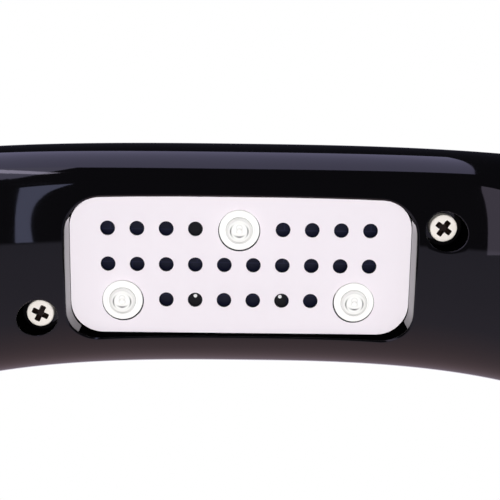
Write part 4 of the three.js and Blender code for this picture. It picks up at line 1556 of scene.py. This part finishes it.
def make_world(s):
    """White for the camera, even light for matt surfaces, and a studio for glossy ones.

    That studio is dark before the lamp and pale behind it, with a soft edge just past straight
    down, and turns warmer further back, as the direction's y says.
    """
    world = bpy.data.worlds.new("studio")
    world.use_nodes = True
    tree = world.node_tree
    direction = node(tree, "ShaderNodeTexCoord").outputs["Generated"]
    parts = node(tree, "ShaderNodeSeparateXYZ", {0: direction})
    studio = node(tree, "ShaderNodeValToRGB", {0: parts.outputs["Y"]})
    ramp = studio.color_ramp.elements
    stops = ((0.03, s.dark_side), (0.06, s.near_side), (0.6, s.pale_side), (0.97, s.warm_side))
    for place, shade in stops[1:-1]:
        ramp.new(place)
    for step, (place, shade) in zip(ramp, stops):
        step.position = place
        step.color = (*shade, 1)
    ray = node(tree, "ShaderNodeLightPath").outputs
    even = remapped(tree, parts.outputs["Z"], HORIZON, (s.fill_below, s.fill))
    lit = mixed(tree, ray["Is Glossy Ray"], even, studio.outputs["Color"])
    seen = reckoned(tree, "MAXIMUM", ray["Is Camera Ray"], ray["Is Transmission Ray"])
    level = mixed(tree, seen, lit, WHITE)
    tree.links.new(level, tree.nodes["Background"].inputs["Color"])
    bpy.context.scene.world = world


def make_floor():
    """A pale floor that is seen from above only, and turns to the white of the backdrop far out."""
    patches = Patches()
    side = np.linspace(-FLOOR_REACH, FLOOR_REACH, FLOOR_STEPS + 1)
    x, y = np.meshgrid(side, side, indexing="ij")
    patches.grid(np.stack([x, y, np.zeros_like(x)], -1))
    floor = patches.to_object("floor", closed=False)
    material = bpy.data.materials.new("pale_floor")
    material.use_nodes = True
    tree = material.node_tree
    tree.nodes.clear()
    distance = node(tree, "ShaderNodeVectorMath", {0: object_place(tree)}, operation="LENGTH")
    far = remapped(tree, distance.outputs["Value"], FLOOR_FADE, kind="SMOOTHSTEP")
    camera_ray = node(tree, "ShaderNodeLightPath").outputs["Is Camera Ray"]
    matt = node(tree, "ShaderNodeBsdfDiffuse", {"Color": FLOOR_SHADE})
    white = node(tree, "ShaderNodeEmission", {"Color": WHITE, "Strength": 1.0})
    top = node(tree, "ShaderNodeMixShader", {
        0: reckoned(tree, "MULTIPLY", far, camera_ray), 1: matt.outputs[0], 2: white.outputs[0],
    })
    below = node(tree, "ShaderNodeNewGeometry").outputs["Backfacing"]
    clear = node(tree, "ShaderNodeBsdfTransparent").outputs[0]
    one_sided = node(tree, "ShaderNodeMixShader", {0: below, 1: top.outputs[0], 2: clear})
    node(tree, "ShaderNodeOutputMaterial", {"Surface": one_sided.outputs[0]})
    floor.data.materials.append(material)
    floor.visible_glossy = False
    floor.visible_diffuse = False
    floor.visible_shadow = False


FRONT_PLANE = -0.0516
LOWER_PLANE = -0.2
# Reflecting cards in these two planes: x from and to, then z or y from and to, brightness, and the
# curved sides that shape_card explains
CARDS = (
    ("front_strip", (-0.2, 0.047), (0.0248, 0.06), (0.8, 0.76, 1.2), (
        (1, 0.046, -0.0075, 0.054, 0.029),
    )),
    ("front_left", (-0.2, -0.018), (0.001, 0.0248), (0.9, 0.85, 1.25), (
        (1, -0.031, 0.012, 0.017, 0.022),
    )),
    ("below_right", (0.06, 0.16), (-0.325, 0.003), (0.9, 0.95, 1.5), (
        (1, 0.125, 0.027, 0, 0.341), (-1, 0.098, -0.03, -0.08, 0.22),
    )),
    ("below_left", (-0.5, -0.175), (-0.65, 0.02), (0.77, 0.67, 0.9), (
        (1, -0.179, -0.071, 0, 0.548),
    )),
)


def make_stage(scene):
    """Camera, world, soft boxes, reflecting cards and floor."""
    s = scene.lamp_stage
    make_camera(s)
    make_world(s)
    make_floor()
    light_from_below("key_below", KEY_LEAN, KEY_DISTANCE, KEY_SIZE, s.key)
    add_flash(s)
    add_card("overhead", OVERHEAD_PLACE, (0, 0, 0), OVERHEAD_SIZE, s.overhead, diffuse=True)
    for name, across, along, shade, bounds in CARDS:
        middle, size = np.mean([across, along], 1), np.ptp([across, along], 1)
        before = name.startswith("front")
        place = (middle[0], FRONT_PLANE, middle[1]) if before else (*middle, LOWER_PLANE)
        card = add_card(
            name, place, (np.pi / 2 if before else np.pi, 0, 0), size, s.cards * max(shade),
            tint=np.array(shade) / max(shade),
        )
        shape_card(card.data, "Z" if before else "Y", bounds)
    add_card(
        "front_glint", GLINT_PLACE, (np.pi / 2, GLINT_LEAN, 0), GLINT_SIZE, s.cards * GLINT_LEVEL,
        tint=GLINT_TINT,
    )
    bpy.context.scene.view_settings.view_transform = "Standard"


# Operators and panel


class LowerShellOperator(bpy.types.Operator):
    """Builds the concave lower shell with its well and counterbores"""

    bl_idname = "lamp.lower_shell"
    bl_label = "Lower shell"

    def execute(self, context):
        make_lower_shell(context.scene)
        return {"FINISHED"}


class UpperShellOperator(bpy.types.Operator):
    """Builds the outer upper shell with the button's hole"""

    bl_idname = "lamp.upper_shell"
    bl_label = "Upper shell"

    def execute(self, context):
        make_upper_shell(context.scene)
        return {"FINISHED"}


class ReflectorPlateOperator(bpy.types.Operator):
    """Builds the perforated reflector plate"""

    bl_idname = "lamp.reflector_plate"
    bl_label = "Reflector plate"

    def execute(self, context):
        make_reflector_plate(context.scene)
        return {"FINISHED"}


class LensesOperator(bpy.types.Operator):
    """Builds the three stepped lenses"""

    bl_idname = "lamp.lenses"
    bl_label = "Lenses"

    def execute(self, context):
        make_lenses(context.scene)
        return {"FINISHED"}


class ShellScrewsOperator(bpy.types.Operator):
    """Builds the two cross-head screws"""

    bl_idname = "lamp.shell_screws"
    bl_label = "Shell screws"

    def execute(self, context):
        make_shell_screws(context.scene)
        return {"FINISHED"}


class ButtonOperator(bpy.types.Operator):
    """Builds the button in the crown"""

    bl_idname = "lamp.button"
    bl_label = "Button"

    def execute(self, context):
        make_button(context.scene)
        return {"FINISHED"}


class FeetOperator(bpy.types.Operator):
    """Builds the four rubber feet"""

    bl_idname = "lamp.feet"
    bl_label = "Feet"

    def execute(self, context):
        make_feet(context.scene)
        return {"FINISHED"}


class PowerInletOperator(bpy.types.Operator):
    """Builds the power inlet in the back wall"""

    bl_idname = "lamp.power_inlet"
    bl_label = "Power inlet"

    def execute(self, context):
        make_power_inlet(context.scene)
        return {"FINISHED"}


class InnerFinishesOperator(bpy.types.Operator):
    """Gives the boards and the pieces on them their finishes"""

    bl_idname = "lamp.inner_finishes"
    bl_label = "Boards and their pieces"

    def execute(self, context):
        finishes = context.scene.lamp_finishes
        for name, nodes in CARRIED.items():
            for carried in nodes:
                coat_node(carried, plain(name))
        for name in SOLDER_GLINT_RADII:
            coat_node(name, chip_finish(name))
        coat_node("light_board", board_finish("navy_board", finishes.navy, 2.2))
        coat_node("control_board", board_finish("green_board", finishes.green, 2.0))
        return {"FINISHED"}


class StageOperator(bpy.types.Operator):
    """Sets up the camera, the floor and the light"""

    bl_idname = "lamp.stage"
    bl_label = "Stage"

    def execute(self, context):
        make_stage(context.scene)
        return {"FINISHED"}


class LampPanel(bpy.types.Panel):
    """Lists the pieces of the lamp"""

    bl_idname = "VIEW3D_PT_lamp"
    bl_label = "Nail lamp"
    bl_space_type = "VIEW_3D"
    bl_region_type = "UI"
    bl_category = "Lamp"

    def draw(self, context):
        for operator in OPERATORS:
            self.layout.operator(operator.bl_idname)


GROUPS = {
    "lamp_housing": HousingSizes,
    "lamp_well": WellSizes,
    "lamp_screws": ScrewSizes,
    "lamp_lens": LensSizes,
    "lamp_button": ButtonSizes,
    "lamp_small": SmallSizes,
    "lamp_stage": StageSizes,
    "lamp_finishes": Finishes,
}
OPERATORS = (
    StageOperator,
    LowerShellOperator,
    UpperShellOperator,
    ReflectorPlateOperator,
    LensesOperator,
    ShellScrewsOperator,
    ButtonOperator,
    FeetOperator,
    PowerInletOperator,
    InnerFinishesOperator,
)


def register():
    """Registers the classes and puts the sizes on the scene."""
    for name, group in GROUPS.items():
        bpy.utils.register_class(group)
        setattr(bpy.types.Scene, name, PointerProperty(type=group))
    for operator in OPERATORS:
        bpy.utils.register_class(operator)
    bpy.utils.register_class(LampPanel)


def unregister():
    """Takes all that away again."""
    bpy.utils.unregister_class(LampPanel)
    for operator in reversed(OPERATORS):
        bpy.utils.unregister_class(operator)
    for name, group in GROUPS.items():
        delattr(bpy.types.Scene, name)
        bpy.utils.unregister_class(group)


def main():
    """Builds the stage and every piece in order."""
    register()
    bpy.ops.lamp.stage()
    bpy.ops.lamp.lower_shell()
    bpy.ops.lamp.upper_shell()
    bpy.ops.lamp.reflector_plate()
    bpy.ops.lamp.lenses()
    bpy.ops.lamp.shell_screws()
    bpy.ops.lamp.button()
    bpy.ops.lamp.feet()
    bpy.ops.lamp.power_inlet()
    bpy.ops.lamp.inner_finishes()


if __name__ == "__main__":
    main()
